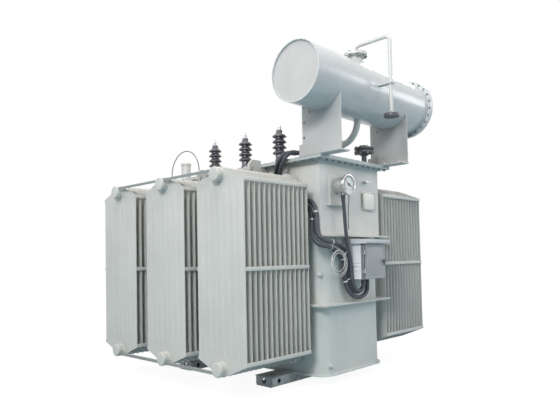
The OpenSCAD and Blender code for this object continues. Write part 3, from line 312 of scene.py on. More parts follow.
drumCoat = {"Coat Weight": 0.38, "Coat Roughness": 0.20}
glazeCoat = {"Coat Weight": 0.6, "Coat Roughness": 0.06}
dialCoat = {"Coat Weight": 0.25, "Coat Roughness": 0.1}
finish = {
    "paint": painted("greyPaint", (206, 206, 201), dirt=0.10, dust=0.35),
    "skidPaint": painted("skidPaint", (214, 221, 221), streaks=0.15, dirt=0.45, dust=0.5, gloss=0.5,
                         bump=0.1),
    # near radiators a little darker than the far ones, which keep greyPaint: a shaded copy of the same paint
    "shadedPanelPaint": painted("shadedPanelPaint", (199, 198, 192), dirt=0.12, dust=0.35, gloss=0.38),
    "drumPaint": painted("drumPaint", (200, 202, 202), streaks=0.04, dust=0.2, gloss=0.30, bump=0.004,
                         coat=drumCoat),
    "drumEnd": painted("drumEnd", (194, 191, 189), streaks=0.08, dust=0.2, gloss=0.45, bump=0.05),
    "legPaint": painted("legPaint", (192, 191, 189), gloss=0.4),
    "coverPaint": painted("coverPaint", (186, 192, 191), streaks=0.12, dust=0.4, gloss=0.4),
    # upper wall painted lighter than the lower wall: painted light on the same tank paint
    "upperLitPaint": painted("upperLitPaint", (219, 218, 213), streaks=0.12),
    "lowerPaint": painted("lowerPaint", (202, 205, 200), streaks=0.12, dirt=0.12),
    # tie bars in a darker grey than the tank paint: painted shade
    "shadedBarPaint": painted("shadedBarPaint", (136, 140, 140), streaks=0.12, dirt=0.2, gloss=0.45),
    # dark grey of the band by the door's hinges: painted shade
    "hingeShadePaint": painted("hingeShadePaint", (126, 127, 129), dust=0.2, gloss=0.4, bump=0.05),
    "roofPaint": painted("roofPaint", (204, 206, 208), dust=0.4, bump=0.05),
    "boxShell": painted("boxShell", (240, 241, 242), streaks=0.06, dust=0.2, gloss=0.3, bump=0.04),
    "boxPaint": painted("boxPaint", (162, 163, 165), streaks=0.08, gloss=0.34, bump=0.04),
    "darkPaint": painted("darkPaint", (92, 94, 100), dust=0.35, gloss=0.4),
    "seam": painted("weldPaint", (192, 195, 193), dirt=0.2, gloss=0.42, bump=0.25, bumpDepth=0.002),
    "glaze": worn("darkGlaze", (74, 73, 81), (60, 59, 67), grain=30, roughness=0.16, bump=0.02,
                  coat=glazeCoat),
    "steel": worn("plainSteel", (190, 190, 192), (140, 138, 134), roughness=0.34, metal=0.85),
    "bolt": worn("platedBolt", (150, 150, 148), (92, 88, 82), dullness=0.6, grain=200, bump=0.06,
                 metal=0.7),
    # teal-grey nuts: painted shade of the cover flange's underside; the conservator's bolts take the same
    # colour
    "shadedNut": worn("shadedNut", (142, 153, 156), (100, 107, 109), grain=200, roughness=0.45, bump=0.06,
                    metal=0.3),
    "coilWire": worn("coilWire", (226, 226, 222), (178, 177, 170), grain=150, roughness=0.36, bump=0.03,
                     metal=0.25),
    "copper": worn("dullCopper", (196, 140, 104), (140, 92, 70), dullness=0.6, grain=90, roughness=0.36,
                   metal=0.9),
    "conduit": worn("darkConduit", (60, 65, 73), (84, 89, 96), dullness=0.35, grain=160, roughness=0.5,
                    bump=0.1),
    "gland": worn("blackGland", (58, 60, 66), (84, 86, 90), dullness=0.4, grain=150, roughness=0.45),
    "tie": worn("whiteTie", (226, 226, 222), (200, 198, 190), dullness=0.3, roughness=0.42, bump=0.03),
    "dial": worn("dialFace", (222, 223, 222), (198, 199, 198), dullness=0.3, grain=60, roughness=0.35,
                 bump=0.01, coat=dialCoat),
    "rubber": worn("doorSeal", (48, 48, 50), (70, 70, 70), dullness=0.4, grain=110, roughness=0.7,
                   bump=0.06),
    "case": worn("gaugeCase", (206, 205, 202), (158, 156, 152), roughness=0.22, bump=0.02, metal=0.6),
    "plate": worn("creamPlate", (240, 236, 226), (222, 217, 206), dullness=0.3, grain=140, roughness=0.3,
                  bump=0.02),
    "ink": worn("dialInk", (40, 40, 44), (60, 60, 62), dullness=0.2, grain=90, roughness=0.5, bump=0.01),
    "needle": worn("redNeedle", (176, 46, 38), (140, 40, 36), dullness=0.2, grain=90, bump=0.01),
}
print("finishes made:", len(finish))


# modelling helpers
alongX, alongY, alongZ = Vector((1, 0, 0)), Vector((0, 1, 0)), Vector((0, 0, 1))


def lookAlong(place, axis):
    turn = alongZ.rotation_difference(Vector(axis)).to_matrix().to_4x4()
    return Matrix.Translation(place) @ turn


def addRound(bm, place, axis, radius, height, segments, topRadius=None):
    matrix = lookAlong(place, axis) @ Matrix.Translation((0, 0, height / 2))
    top = radius if topRadius is None else topRadius
    bmesh.ops.create_cone(bm, cap_ends=True, cap_tris=False, segments=segments,
                          radius1=radius, radius2=top, depth=height, matrix=matrix)


def roundEdges(bm, edges, width):
    bmesh.ops.bevel(bm, geom=edges, offset=width, segments=2, profile=0.5, affect="EDGES", material=-1)


def addBlock(bm, low, high, edge=0.0):
    low, high = Vector(low), Vector(high)
    matrix = Matrix.Translation((low + high) / 2) @ Matrix.Diagonal((*(high - low), 1))
    verts = bmesh.ops.create_cube(bm, size=1, matrix=matrix)["verts"]
    if edge:
        roundEdges(bm, list({e for v in verts for e in v.link_edges}), edge)


def addPart(bm, part):
    # join a finished part to a growing piece
    bmesh.ops.recalc_face_normals(part, faces=part.faces[:])
    mesh = bpy.data.meshes.new("part")
    part.to_mesh(mesh)
    part.free()
    bm.from_mesh(mesh)
    bpy.data.meshes.remove(mesh)


def addFrame(bm, low, high, width, edge=0.0):
    # a flat rectangular frame that lies across the X axis
    part = bmesh.new()
    corners = ((low[1], low[2]), (high[1], low[2]), (high[1], high[2]), (low[1], high[2]))
    face = part.faces.new([part.verts.new((low[0], y, z)) for y, z in corners])
    face.normal_update()
    bmesh.ops.inset_individual(part, faces=[face], thickness=width)
    bmesh.ops.delete(part, geom=[face], context="FACES_ONLY")
    raised = bmesh.ops.extrude_face_region(part, geom=part.faces[:])["geom"]
    raisedVerts = [item for item in raised if isinstance(item, bmesh.types.BMVert)]
    bmesh.ops.translate(part, vec=alongX * (high[0] - low[0]), verts=raisedVerts)
    bmesh.ops.recalc_face_normals(part, faces=part.faces[:])
    if edge:
        roundEdges(part, [e for e in part.edges if e.calc_face_angle(0) > math.radians(30)], edge)
    addPart(bm, part)


def addTurned(bm, profile, place, axis, steps):
    # a profile of (radius, distance along the axis) turned once round
    matrix = lookAlong(place, axis)
    part = bmesh.new()
    verts = [part.verts.new(matrix @ Vector((r, 0, h))) for r, h in profile]
    edges = [part.edges.new(pair) for pair in zip(verts[:-1], verts[1:])]
    bmesh.ops.spin(part, geom=verts + edges, cent=Vector(place), axis=Vector(axis).normalized(),
                   angle=2 * math.pi, steps=steps, use_merge=True)
    bmesh.ops.remove_doubles(part, verts=part.verts[:], dist=1e-6)
    addPart(bm, part)


def addRing(bm, place, axis, radius, wire, steps=64, sides=8):
    angles = [2 * math.pi * k / sides for k in range(sides + 1)]
    addTurned(bm, [(radius + wire * math.cos(a), wire * math.sin(a)) for a in angles], place, axis, steps)


def addBand(bm, place, axis, inner, outer, width, steps):
    # a flat band round a tube
    profile = [(inner, -width / 2), (outer, -width / 2), (outer, width / 2), (inner, width / 2)]
    addTurned(bm, profile + profile[:1], place, axis, steps)


# washer, hexagon and bolt end, as shares of the bolt's size
boltShape = {"washer": 1.08, "washerHeight": 0.16, "head": 0.88, "headTop": 0.84, "headHeight": 0.60,
             "end": 0.46, "endTop": 0.40, "endHeight": 0.55, "endFrom": 0.7}


def addBolt(bm, place, axis, size):
    place, axis, shape = Vector(place), Vector(axis).normalized(), boltShape
    addRound(bm, place, axis, size * shape["washer"], size * shape["washerHeight"], segments=12)
    addRound(bm, place + axis * size * shape["washerHeight"], axis, size * shape["head"],
             size * shape["headHeight"], segments=6, topRadius=size * shape["headTop"])


def addNut(bm, place, axis, size):
    place, axis, shape = Vector(place), Vector(axis).normalized(), boltShape
    addBolt(bm, place, axis, size)
    addRound(bm, place + axis * size * shape["endFrom"], axis, size * shape["end"],
             size * shape["endHeight"], segments=8, topRadius=size * shape["endTop"])


def circlePlaces(place, axis, radius, count, start=0.0):
    matrix = lookAlong(place, axis)
    for i in range(count):
        angle = start + 2 * math.pi * i / count
        yield matrix @ Vector((radius * math.cos(angle), radius * math.sin(angle), 0))


def makePiece(name, bm, material, body=mainBody, replaces=(), smooth=35):
    bmesh.ops.recalc_face_normals(bm, faces=bm.faces[:])
    mesh = bpy.data.meshes.new(name)
    bm.to_mesh(mesh)
    bm.free()
    placeMesh(name, mesh, material, body, replaces, smooth)


def placeMesh(name, mesh, material, body=mainBody, replaces=(), smooth=35):
    # materials are named here, and an edge turned by more than smooth degrees stays sharp
    mesh.materials.clear()
    mesh.materials.append(finish[material])
    mesh.polygons.foreach_set("use_smooth", [True] * len(mesh.polygons))
    mesh.set_sharp_from_angle(angle=math.radians(smooth))
    piece = bpy.data.objects.new(name, mesh)
    bpy.context.scene.collection.objects.link(piece)
    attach(piece, body)
    if replaces:
        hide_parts(*replaces)


def sweptMesh(name, points, radius, closed=False, sides=2, straight=False):
    # a round tube along the points, in straight stretches or on a smooth curve
    curve = bpy.data.curves.new(name, "CURVE")
    curve.dimensions = "3D"
    curve.bevel_depth = radius
    curve.bevel_resolution = sides
    curve.resolution_u = 6
    curve.use_fill_caps = not closed
    if straight:
        spline = curve.splines.new("POLY")
        spline.points.add(len(points) - 1)
        for point, place in zip(spline.points, points):
            point.co = (*place, 1)
    else:
        spline = curve.splines.new("BEZIER")
        spline.bezier_points.add(len(points) - 1)
        for point, place in zip(spline.bezier_points, points):
            point.co = place
            point.handle_left_type = point.handle_right_type = "AUTO"
    spline.use_cyclic_u = closed
    holder = bpy.data.objects.new(name, curve)
    bpy.context.scene.collection.objects.link(holder)
    bpy.context.view_layer.update()
    mesh = bpy.data.meshes.new_from_object(holder.evaluated_get(bpy.context.evaluated_depsgraph_get()))
    mesh.name = name
    bpy.data.objects.remove(holder)
    bpy.data.curves.remove(curve)
    return mesh


# finishes on the CAD nodes, by the node's name or else by its slot
slotFinish = {"paint": "paint", "shade_paint": "skidPaint", "porcelain": "glaze", "bare_steel": "steel",
              "dark_paint": "darkPaint", "box_paint": "boxPaint", "copper": "copper",
              "black_plastic": "gland"}
nodeFinish = {"terminal_box": "boxShell", "terminal_box_roof": "roofPaint", "conservator_drum": "drumPaint",
              "conservator_end_plate": "drumEnd", "tie_bars_front": "shadedBarPaint", "tie_bars_back": "shadedBarPaint",
              "near_leg": "legPaint", "far_leg": "legPaint", "tank_cover": "coverPaint",
              "tank_flange": "coverPaint", "tank_upper_wall": "upperLitPaint", "tank_lower_wall": "lowerPaint"}
for entry in frame["record"]["subparts"]:
    mesh = nodes[entry["node"]].data
    mesh.materials.clear()
    mesh.materials.append(finish[nodeFinish.get(entry["node"], slotFinish[entry["material_slot"]])])
print("CAD nodes painted")


# radiators: pressed panels with round flutes on two headers
radiatorSpec = {"panels": 14, "pitch": 0.045, "halfWidth": 0.2275, "sheet": 0.0025, "crest": 0.005,
                "flutes": 7, "margin": 0.016, "gap": 0.012, "slope": 0.010,
                "wave": [(0.0, 0.0), (0.35, 0.35), (0.75, 0.88), (1.2, 1.0)],   # shares of slope and crest
                "bare": 0.062, "fade": 0.022, "fadeShares": [(0.4, 0.45), (1.0, 1.0)],
                "shoulder": 0.036, "collar": 0.052, "neck": 0.3, "header": 0.0445,
                "cap": 0.047, "capLength": 0.030, "capOver": 0.003, "capEdge": 0.008, "capLip": 0.001,
                "capTurn": (0, 22, 45, 68, 90), "bar": 0.025, "barThickness": 0.005, "barEdge": 0.0012,
                "flange": 0.066, "flangeThickness": 0.014,
                "collarRise": [(-0.002, -0.010), (0.005, -0.007), (0.006, -0.002),
                               (0.006, 0.002), (0.005, 0.007), (-0.002, 0.010)]}


def fluteColumns(spec):
    # places across the panel and how far the sheet stands out there
    pitch = (2 * spec["halfWidth"] - 2 * spec["margin"] + spec["gap"]) / spec["flutes"]
    columns = [(-spec["halfWidth"], 0.0)]
    for i in range(spec["flutes"]):
        start = -spec["halfWidth"] + spec["margin"] + i * pitch
        end = start + pitch - spec["gap"]
        columns += [(start + spec["slope"] * share, rise) for share, rise in spec["wave"]]
        columns += [(end - spec["slope"] * share, rise) for share, rise in reversed(spec["wave"])]
    return columns + [(spec["halfWidth"], 0.0)]


def panelRows(spec, lowHeader, topHeader):
    # heights up the panel, the half width there and how much of the flutes shows
    halfWidth = spec["halfWidth"]
    reach = math.hypot(halfWidth, spec["shoulder"])
    angle = math.acos(spec["collar"] / reach) - math.atan2(spec["shoulder"], halfWidth)
    tipWidth, tipRise = spec["collar"] * math.cos(angle), spec["collar"] * math.sin(angle)
    tip, neck = topHeader + tipRise, topHeader + tipRise * spec["neck"]
    corner = topHeader - spec["shoulder"]
    slope = (halfWidth - tipWidth) / (tip - corner)
    bareFoot = corner - spec["bare"]
    upper = [(tip, tipWidth, 0.0), (neck, halfWidth - slope * (neck - corner), 0.0),
             (corner, halfWidth, 0.0), (bareFoot, halfWidth, 0.0)]
    upper += [(bareFoot - spec["fade"] * way, halfWidth, share) for way, share in spec["fadeShares"]]
    lower = [(lowHeader + topHeader - z, width, share) for z, width, share in upper]
    return lower + upper[::-1]


def addPanel(bm, spec, place, lowHeader, topHeader):
    columns, rows = fluteColumns(spec), panelRows(spec, lowHeader, topHeader)
    rims = []
    for side in (-1, 1):
        grid = bmesh.ops.create_grid(bm, x_segments=len(columns) - 1, y_segments=len(rows) - 1, size=1)
        for index, vert in enumerate(grid["verts"]):
            z, width, share = rows[index // len(columns)]
            x, rise = columns[index % len(columns)]
            out = spec["sheet"] + (spec["crest"] - spec["sheet"]) * rise * share
            vert.co = (place[0] + x * width / spec["halfWidth"], place[1] + side * out, z)
        rims += [e for e in {e for v in grid["verts"] for e in v.link_edges} if e.is_boundary]
    bmesh.ops.bridge_loops(bm, edges=rims)


def addHeader(bm, spec, place, length):
    # flange, pipe and a pressed cap with a round rim
    radius, thickness, edge, lip = spec["header"], spec["flangeThickness"], spec["capEdge"], spec["capLip"]
    rim, start = radius + spec["capOver"], length - spec["capLength"]
    flange = [(0, 0), (spec["flange"], 0), (spec["flange"], thickness), (radius, thickness)]
    cap = [(radius, start), (rim - lip, start), (rim, start + lip)]
    for angle in map(math.radians, spec["capTurn"]):
        cap.append((rim - edge + edge * math.cos(angle), length - edge + edge * math.sin(angle)))
    addTurned(bm, flange + cap + [(0, length)], place, -alongY, steps=36)


def buildRadiator(spec, low, high):
    # one radiator on the near side, at its own place
    middle = (low.x + high.x) / 2
    lowHeader, topHeader = low.z + spec["flange"], high.z - spec["flange"]
    outer, inner = low.y + spec["cap"], high.y
    panelPlaces = [outer + spec["crest"] + k * spec["pitch"] for k in range(spec["panels"])]
    collar = [(spec["header"] + rise, along) for rise, along in spec["collarRise"]]
    bm = bmesh.new()
    for y in panelPlaces:
        addPanel(bm, spec, (middle, y), lowHeader, topHeader)
    for z in (lowHeader, topHeader):
        addHeader(bm, spec, (middle, inner, z), inner - low.y)
        for y in panelPlaces:   # pressed collar round the header
            addTurned(bm, collar + collar[:1], (middle, y, z), -alongY, steps=24)
    foot, corner = lowHeader + spec["shoulder"], topHeader - spec["shoulder"]
    for side in (-1, 1):   # flat bars across the panels' edges
        inside = middle + side * spec["halfWidth"]
        outside = inside + side * spec["barThickness"]
        for z in (foot, (corner + foot) / 2, corner - spec["bar"]):
            addBlock(bm, (min(inside, outside), outer, z),
                     (max(inside, outside), panelPlaces[-1] + spec["crest"], z + spec["bar"]),
                     spec["barEdge"])
    return bm


for number in (1, 2, 3):
    nearNode, farNode = "radiator_front_%d" % number, "radiator_back_%d" % number
    near = buildRadiator(radiatorSpec, *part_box(nearNode))
    far = near.copy()
    bmesh.ops.scale(far, vec=(1, -1, 1), verts=far.verts[:])
    makePiece("radiatorFront%d" % number, near, "shadedPanelPaint", replaces=[nearNode], smooth=28)
    makePiece("radiatorBack%d" % number, far, "paint", replaces=[farNode], smooth=28)
print("radiators pressed")


# bolts of the cover, the radiator valves and the conservator
boltSpec = {"cover": {"size": 0.012, "pitch": 0.075, "inset": 0.030, "footRoom": 0.015},
            "valve": {"size": 0.010, "circle": 0.0555, "count": 8, "turn": 0.39},
            "drum": {"size": 0.0085, "circle": 0.220, "count": 24, "turn": 0.1, "flange": 0.014, "back": 0.9},
            "neck": {"size": 0.010, "circle": 0.076, "count": 8, "flange": 0.020}}
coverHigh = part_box("tank_cover")[1]
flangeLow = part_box("tank_flange")[0]
drumLow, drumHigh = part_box("conservator_drum")
drumAxis = Vector(((drumLow.x + drumHigh.x) / 2, 0, (drumLow.z + drumHigh.z) / 2))
endLow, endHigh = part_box("conservator_cover_plate")
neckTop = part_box("filler_neck")[1].z


def underFoot(x, y, room):
    feet = [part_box("near_leg"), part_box("far_leg")]
    return any(lo.x - room < x < hi.x + room and lo.y - room < y < hi.y + room for lo, hi in feet)


def coverPlaces(spec):
    halfX, halfY = coverHigh.x - spec["inset"], coverHigh.y - spec["inset"]
    countX, countY = round(2 * halfX / spec["pitch"]), round(2 * halfY / spec["pitch"])
    for i in range(countX + 1):
        for y in (-halfY, halfY):
            yield -halfX + 2 * halfX * i / countX, y
    for i in range(1, countY):
        for x in (-halfX, halfX):
            yield x, -halfY + 2 * halfY * i / countY


spec = boltSpec["cover"]
boltMesh, nutMesh = bmesh.new(), bmesh.new()
for x, y in coverPlaces(spec):
    addNut(nutMesh, (x, y, flangeLow.z), -alongZ, spec["size"])
    if not underFoot(x, y, spec["footRoom"]):
        addBolt(boltMesh, (x, y, coverHigh.z), alongZ, spec["size"])
makePiece("coverBolts", boltMesh, "paint")
# the nuts under the cover flange are in the teal-grey of painted shade
makePiece("coverNuts", nutMesh, "shadedNut")

spec = boltSpec["valve"]
boltMesh = bmesh.new()
for number in (1, 2, 3):
    low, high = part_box("radiator_front_%d" % number)
    for z in (low.z + radiatorSpec["flange"], high.z - radiatorSpec["flange"]):
        for side in (-1, 1):
            outerFace = -side * (high.y - radiatorSpec["flangeThickness"])
            innerFace = -side * (high.y + radiatorSpec["flangeThickness"])
            middle = ((low.x + high.x) / 2, 0, z)
            for spot in circlePlaces(middle, alongY, spec["circle"], spec["count"], spec["turn"]):
                addBolt(boltMesh, (spot.x, outerFace, spot.z), alongY * side, spec["size"])
                addNut(boltMesh, (spot.x, innerFace, spot.z), -alongY * side, spec["size"])
makePiece("valveBolts", boltMesh, "skidPaint")

spec = boltSpec["drum"]
boltMesh = bmesh.new()
for spot in circlePlaces(drumAxis, alongY, spec["circle"], spec["count"], spec["turn"]):
    addNut(boltMesh, (spot.x, endLow.y - spec["flange"], spot.z), -alongY, spec["size"])
    addBolt(boltMesh, (spot.x, endHigh.y, spot.z), alongY, spec["size"] * spec["back"])
spec = boltSpec["neck"]
for spot in circlePlaces((drumAxis.x, 0, neckTop), alongZ, spec["circle"], spec["count"]):
    addBolt(boltMesh, spot, alongZ, spec["size"])
    addNut(boltMesh, spot - alongZ * spec["flange"], -alongZ, spec["size"])
makePiece("conservatorBolts", boltMesh, "shadedNut")
print("bolts placed")


# breather: one bent pipe with a pair of dark flanges at its foot
breatherSpec = {"radius": 0.0135, "bend": 0.036, "steps": 7, "bolt": 0.0085, "bolts": 6, "circle": 0.042,
                "flange": [(0, 0), (0.0535, 0), (0.055, 0.0015), (0.055, 0.0098), (0.053, 0.0104),
                           (0.053, 0.0116), (0.055, 0.0122), (0.055, 0.0205), (0.0535, 0.022), (0, 0.022)],
                "flangeRadius": 0.055, "flangeHeight": 0.022}
breatherLow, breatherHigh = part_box("breather_pipe")
breatherX = breatherHigh.x - breatherSpec["flangeRadius"]


def breatherRoute(spec):
    # up from the neck, over and down, with round bends
    top, bend = breatherHigh.z - spec["radius"], spec["bend"]
    angles = [math.pi / 2 * k / (spec["steps"] - 1) for k in range(spec["steps"])]
    route = [Vector((drumAxis.x, 0, neckTop))]
    route += [Vector((drumAxis.x + bend * (1 - math.cos(a)), 0, top - bend * (1 - math.sin(a))))
              for a in angles]
    route += [Vector((breatherX - bend * (1 - math.sin(a)), 0, top - bend * (1 - math.cos(a))))
              for a in angles]
    return route + [Vector((breatherX, 0, breatherLow.z + spec["flangeHeight"]))]


pipeMesh = sweptMesh("breatherPipe", breatherRoute(breatherSpec), breatherSpec["radius"],
                     sides=4, straight=True)
placeMesh("breatherPipe", pipeMesh, "paint", replaces=["breather_pipe"], smooth=50)
breatherFoot = Vector((breatherX, 0, breatherLow.z))
flangeMesh = bmesh.new()
addTurned(flangeMesh, breatherSpec["flange"], breatherFoot, alongZ, steps=32)
for spot in circlePlaces(breatherFoot, alongZ, breatherSpec["circle"], breatherSpec["bolts"]):
    addBolt(flangeMesh, spot + alongZ * breatherSpec["flangeHeight"], alongZ, breatherSpec["bolt"])
makePiece("breatherFlange", flangeMesh, "darkPaint")
print("breather bent")


# conduits: smooth tubes along the routes of the CAD solids, whose points are in millimetres
conduitSpec = {"relay": 0.0158, "gauge": 0.0128}
relayRouteA = [
    (668, -90, 1735), (668, -140, 1735), (634, -250, 1690), (624, -350, 1658), (612, -420, 1652),
    (594, -462, 1620), (570, -469, 1577), (530, -450, 1532), (480, -416, 1482), (453, -393, 1420),
    (453, -385, 1365), (480, -384, 1325), (545, -384, 1312), (720, -384, 1302), (772, -384, 1274),
    (797, -386, 1215), (806, -394, 1145), (834, -426, 1090), (868, -446, 1048), (894, -434, 1020),
    (897, -395, 1010), (888, -330, 1002), (878, -260, 988), (866, -190, 966), (857, -140, 934),
    (854, -113, 890), (854, -112, 810), (856, -106, 738), (865, -82, 674), (878, -44, 644),
    (892, -8, 654), (902, 14, 682), (902, 14, 705)]
relayRouteB = [
    (632, -90, 1735), (632, -140, 1735), (598, -250, 1690), (588, -350, 1658), (576, -420, 1653),
    (558, -464, 1630), (534, -471, 1596), (496, -453, 1560), (448, -418, 1510), (414, -395, 1440),
    (412, -386, 1355), (444, -384, 1290), (530, -384, 1275), (705, -384, 1256), (746, -385, 1220),
    (764, -389, 1160), (784, -415, 1092), (823, -449, 1036), (860, -456, 998), (887, -434, 977),
    (890, -386, 973), (872, -330, 964), (854, -280, 953), (851, -235, 938), (851, -195, 914),
    (853, -164, 886), (854, -148, 862), (854, -148, 800), (856, -142, 722), (866, -108, 646),
    (884, -50, 604), (902, 12, 614), (908, 50, 654), (908, 54, 682), (908, 54, 705)]
gaugeRoute = [
    (896, -195, 1335), (896, -195, 1290), (900, -193, 1200), (902, -190, 1120), (903, -182, 1050),
    (900, -166, 980), (894, -142, 920), (890, -122, 860), (890, -116, 800), (893, -112, 735),
    (903, -96, 680), (916, -64, 650), (926, -36, 660), (930, -24, 684), (930, -24, 705)]


def inMetres(route):
    return [Vector(point) / 1000 for point in route]


conduitMesh = bmesh.new()
for route in (relayRouteA, relayRouteB):
    conduitMesh.from_mesh(sweptMesh("relayConduit", inMetres(route), conduitSpec["relay"], sides=4))
makePiece("relayConduits", conduitMesh, "conduit", replaces=["relay_conduits"], smooth=60)
gaugeConduit = sweptMesh("gaugeConduit", inMetres(gaugeRoute), conduitSpec["gauge"], sides=4)
placeMesh("gaugeConduit", gaugeConduit, "conduit", replaces=["gauge_conduit"], smooth=60)
print("conduits laid")


# bushings: turned porcelain, dark caps, studs with nuts
bushingSpec = {"foot": [(0, 0), (0.058, 0), (0.060, 0.002), (0.060, 0.015), (0.057, 0.018), (0.0445, 0.018),
                        (0.0435, 0.021), (0.0412, 0.050), (0.037, 0.058), (0.033, 0.064)],
               "shed": [(0.033, -0.018), (0.042, -0.0155), (0.050, -0.012), (0.0552, -0.0085),
                        (0.057, -0.0045), (0.0562, -0.001), (0.053, 0.0025), (0.046, 0.0075),
                        (0.039, 0.013), (0.0345, 0.0175), (0.033, 0.020)],
               "head": [(0.0325, 0.266), (0.030, 0.270), (0.028, 0.272), (0, 0.272)],
               "first": 0.114, "pitch": 0.044, "sheds": 4,
               "cap": [(0, 0), (0.024, 0), (0.026, 0.002), (0.026, 0.013), (0.0245, 0.017), (0.018, 0.024),
                       (0.015, 0.026), (0, 0.026)],
               "capHeight": 0.026, "stud": 0.0058, "studLength": 0.042,
               "nut": 0.0115, "nutHeight": 0.009, "nutsAt": (0.001, 0.018),
               "washer": 1.25, "washerHeight": 0.0025, "washerAt": 0.0105,
               "clampCircle": 0.051, "clampAt": 0.018, "clampNut": 0.0085, "clamps": 4, "clampTurn": 0.785}


def bushingProfile(spec):
    profile = list(spec["foot"])
    for i in range(spec["sheds"]):
        profile += [(r, spec["first"] + i * spec["pitch"] + h) for r, h in spec["shed"]]
    return profile + spec["head"]


def addStud(bm, spec, place):
    addRound(bm, place, alongZ, spec["stud"], spec["studLength"], segments=16)
    for rise in spec["nutsAt"]:
        addRound(bm, place + alongZ * rise, alongZ, spec["nut"], spec["nutHeight"], segments=6)
    addRound(bm, place + alongZ * spec["washerAt"], alongZ, spec["nut"] * spec["washer"],
             spec["washerHeight"], segments=20)


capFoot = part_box("hv_terminals")[0].z
capMesh, studMesh, clampMesh = bmesh.new(), bmesh.new(), bmesh.new()
for letter in "abc":
    low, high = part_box("hv_bushing_" + letter)
    foot = Vector(((low.x + high.x) / 2, (low.y + high.y) / 2, low.z))
    top = Vector((foot.x, foot.y, capFoot))
    bushingMesh = bmesh.new()
    addTurned(bushingMesh, bushingProfile(bushingSpec), foot, alongZ, steps=48)
    makePiece("bushing" + letter.upper(), bushingMesh, "glaze",
              replaces=["hv_bushing_" + letter], smooth=40)
    addTurned(capMesh, bushingSpec["cap"], top, alongZ, steps=32)
    addStud(studMesh, bushingSpec, top + alongZ * bushingSpec["capHeight"])
    for spot in circlePlaces(foot + alongZ * bushingSpec["clampAt"], alongZ, bushingSpec["clampCircle"],
                             bushingSpec["clamps"], bushingSpec["clampTurn"]):
        addNut(clampMesh, spot, alongZ, bushingSpec["clampNut"])
makePiece("bushingCaps", capMesh, "darkPaint", replaces=["hv_terminals"])
makePiece("bushingStuds", studMesh, "steel")
makePiece("bushingClamps", clampMesh, "bolt")
print("bushings turned")


# thermometer: case with bezel and gland, dial, scale and two hands
gaugeSpec = {"case": [(0, 0), (0.054, 0), (0.058, 0.002), (0.060, 0.006), (0.060, 0.094), (0.0735, 0.094),
                      (0.075, 0.0955), (0.075, 0.1085), (0.0742, 0.111), (0.072, 0.112), (0.067, 0.112),
                      (0.0655, 0.1105), (0.065, 0.1065), (0, 0.1062)],
             "bezel": 0.075, "depth": 0.112,
             "gland": {"radius": 0.016, "drop": 0.050, "length": 0.019, "hexAt": 0.0105, "hexLength": 0.006},
             "screws": {"angles": (60, 180, 300), "circle": 0.0695, "at": 0.1115, "radius": 0.0028,
                        "length": 0.0005},
             "face": {"radius": 0.0652, "at": 0.1062, "thickness": 0.0006},
             "scale": {"sweep": 270, "inner": 0.0545, "outer": 0.0600, "ink": 0.0003, "ticks": 13,
                       "steps": 48},
             "ticks": [{"inner": 0.041, "width": 0.0036}, {"inner": 0.047, "width": 0.0022}],
             "hand": {"angle": 112, "inner": -0.018, "outer": 0.050, "width": 0.0050, "depth": 0.0010},
             "needle": {"angle": -52, "inner": -0.014, "outer": 0.047, "width": 0.0034, "depth": 0.0016},
             "hub": {"radius": 0.0095, "height": 0.0032}}
low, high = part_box("thermometer")
gaugeBack = Vector((low.x, (low.y + high.y) / 2, high.z - gaugeSpec["bezel"]))
faceCentre = gaugeBack + alongX * gaugeSpec["face"]["at"]
faceFront = gaugeSpec["face"]["thickness"]


def addRay(bm, angle, inner, outer, width, depth):
    # a flat bar on the dial, at an angle from straight up
    turn = Matrix.Rotation(-math.radians(angle), 4, "X")
    part = bmesh.new()
    addBlock(part, (faceFront, -width / 2, inner), (faceFront + depth, width / 2, outer))
    bmesh.ops.transform(part, matrix=Matrix.Translation(faceCentre) @ turn, verts=part.verts[:])
    addPart(bm, part)


def addArc(bm, spec):
    # the scale's line: a flat strip swept round the dial
    turn = Matrix.Translation(faceCentre) @ Matrix.Rotation(math.radians(spec["sweep"] / 2), 4, "X")
    back, front = faceFront, faceFront + spec["ink"]
    inner, outer = spec["inner"], spec["outer"]
    section = [(back, 0, inner), (front, 0, inner), (front, 0, outer), (back, 0, outer)]
    part = bmesh.new()
    corners = [part.verts.new(turn @ Vector(point)) for point in section]
    edges = [part.edges.new((corners[i - 1], corners[i])) for i in range(4)]
    bmesh.ops.spin(part, geom=corners + edges, cent=faceCentre, axis=-alongX,
                   angle=math.radians(spec["sweep"]), steps=spec["steps"])
    bmesh.ops.holes_fill(part, edges=[e for e in part.edges if e.is_boundary], sides=4)
    addPart(bm, part)


caseMesh, faceMesh, inkMesh, needleMesh = bmesh.new(), bmesh.new(), bmesh.new(), bmesh.new()
addTurned(caseMesh, gaugeSpec["case"], gaugeBack, alongX, steps=56)
spec = gaugeSpec["gland"]
glandTop = gaugeBack + Vector((gaugeSpec["depth"] / 2, 0, -spec["drop"]))
addRound(caseMesh, glandTop, -alongZ, spec["radius"], spec["length"], segments=24)
addRound(caseMesh, glandTop - alongZ * spec["hexAt"], -alongZ, spec["radius"], spec["hexLength"],
         segments=6)
spec = gaugeSpec["screws"]
for angle in map(math.radians, spec["angles"]):
    turn = Vector((0, math.sin(angle), math.cos(angle)))
    spot = gaugeBack + turn * spec["circle"] + alongX * spec["at"]
    addRound(caseMesh, spot, alongX, spec["radius"], spec["length"], segments=12)
addRound(faceMesh, faceCentre, alongX, gaugeSpec["face"]["radius"], faceFront, segments=56)
spec = gaugeSpec["scale"]
for k in range(spec["ticks"]):
    tick = gaugeSpec["ticks"][k % 2]
    angle = spec["sweep"] * (k / (spec["ticks"] - 1) - 0.5)
    addRay(inkMesh, angle, tick["inner"], spec["inner"], tick["width"], spec["ink"])
addArc(inkMesh, spec)
addRay(inkMesh, **gaugeSpec["hand"])
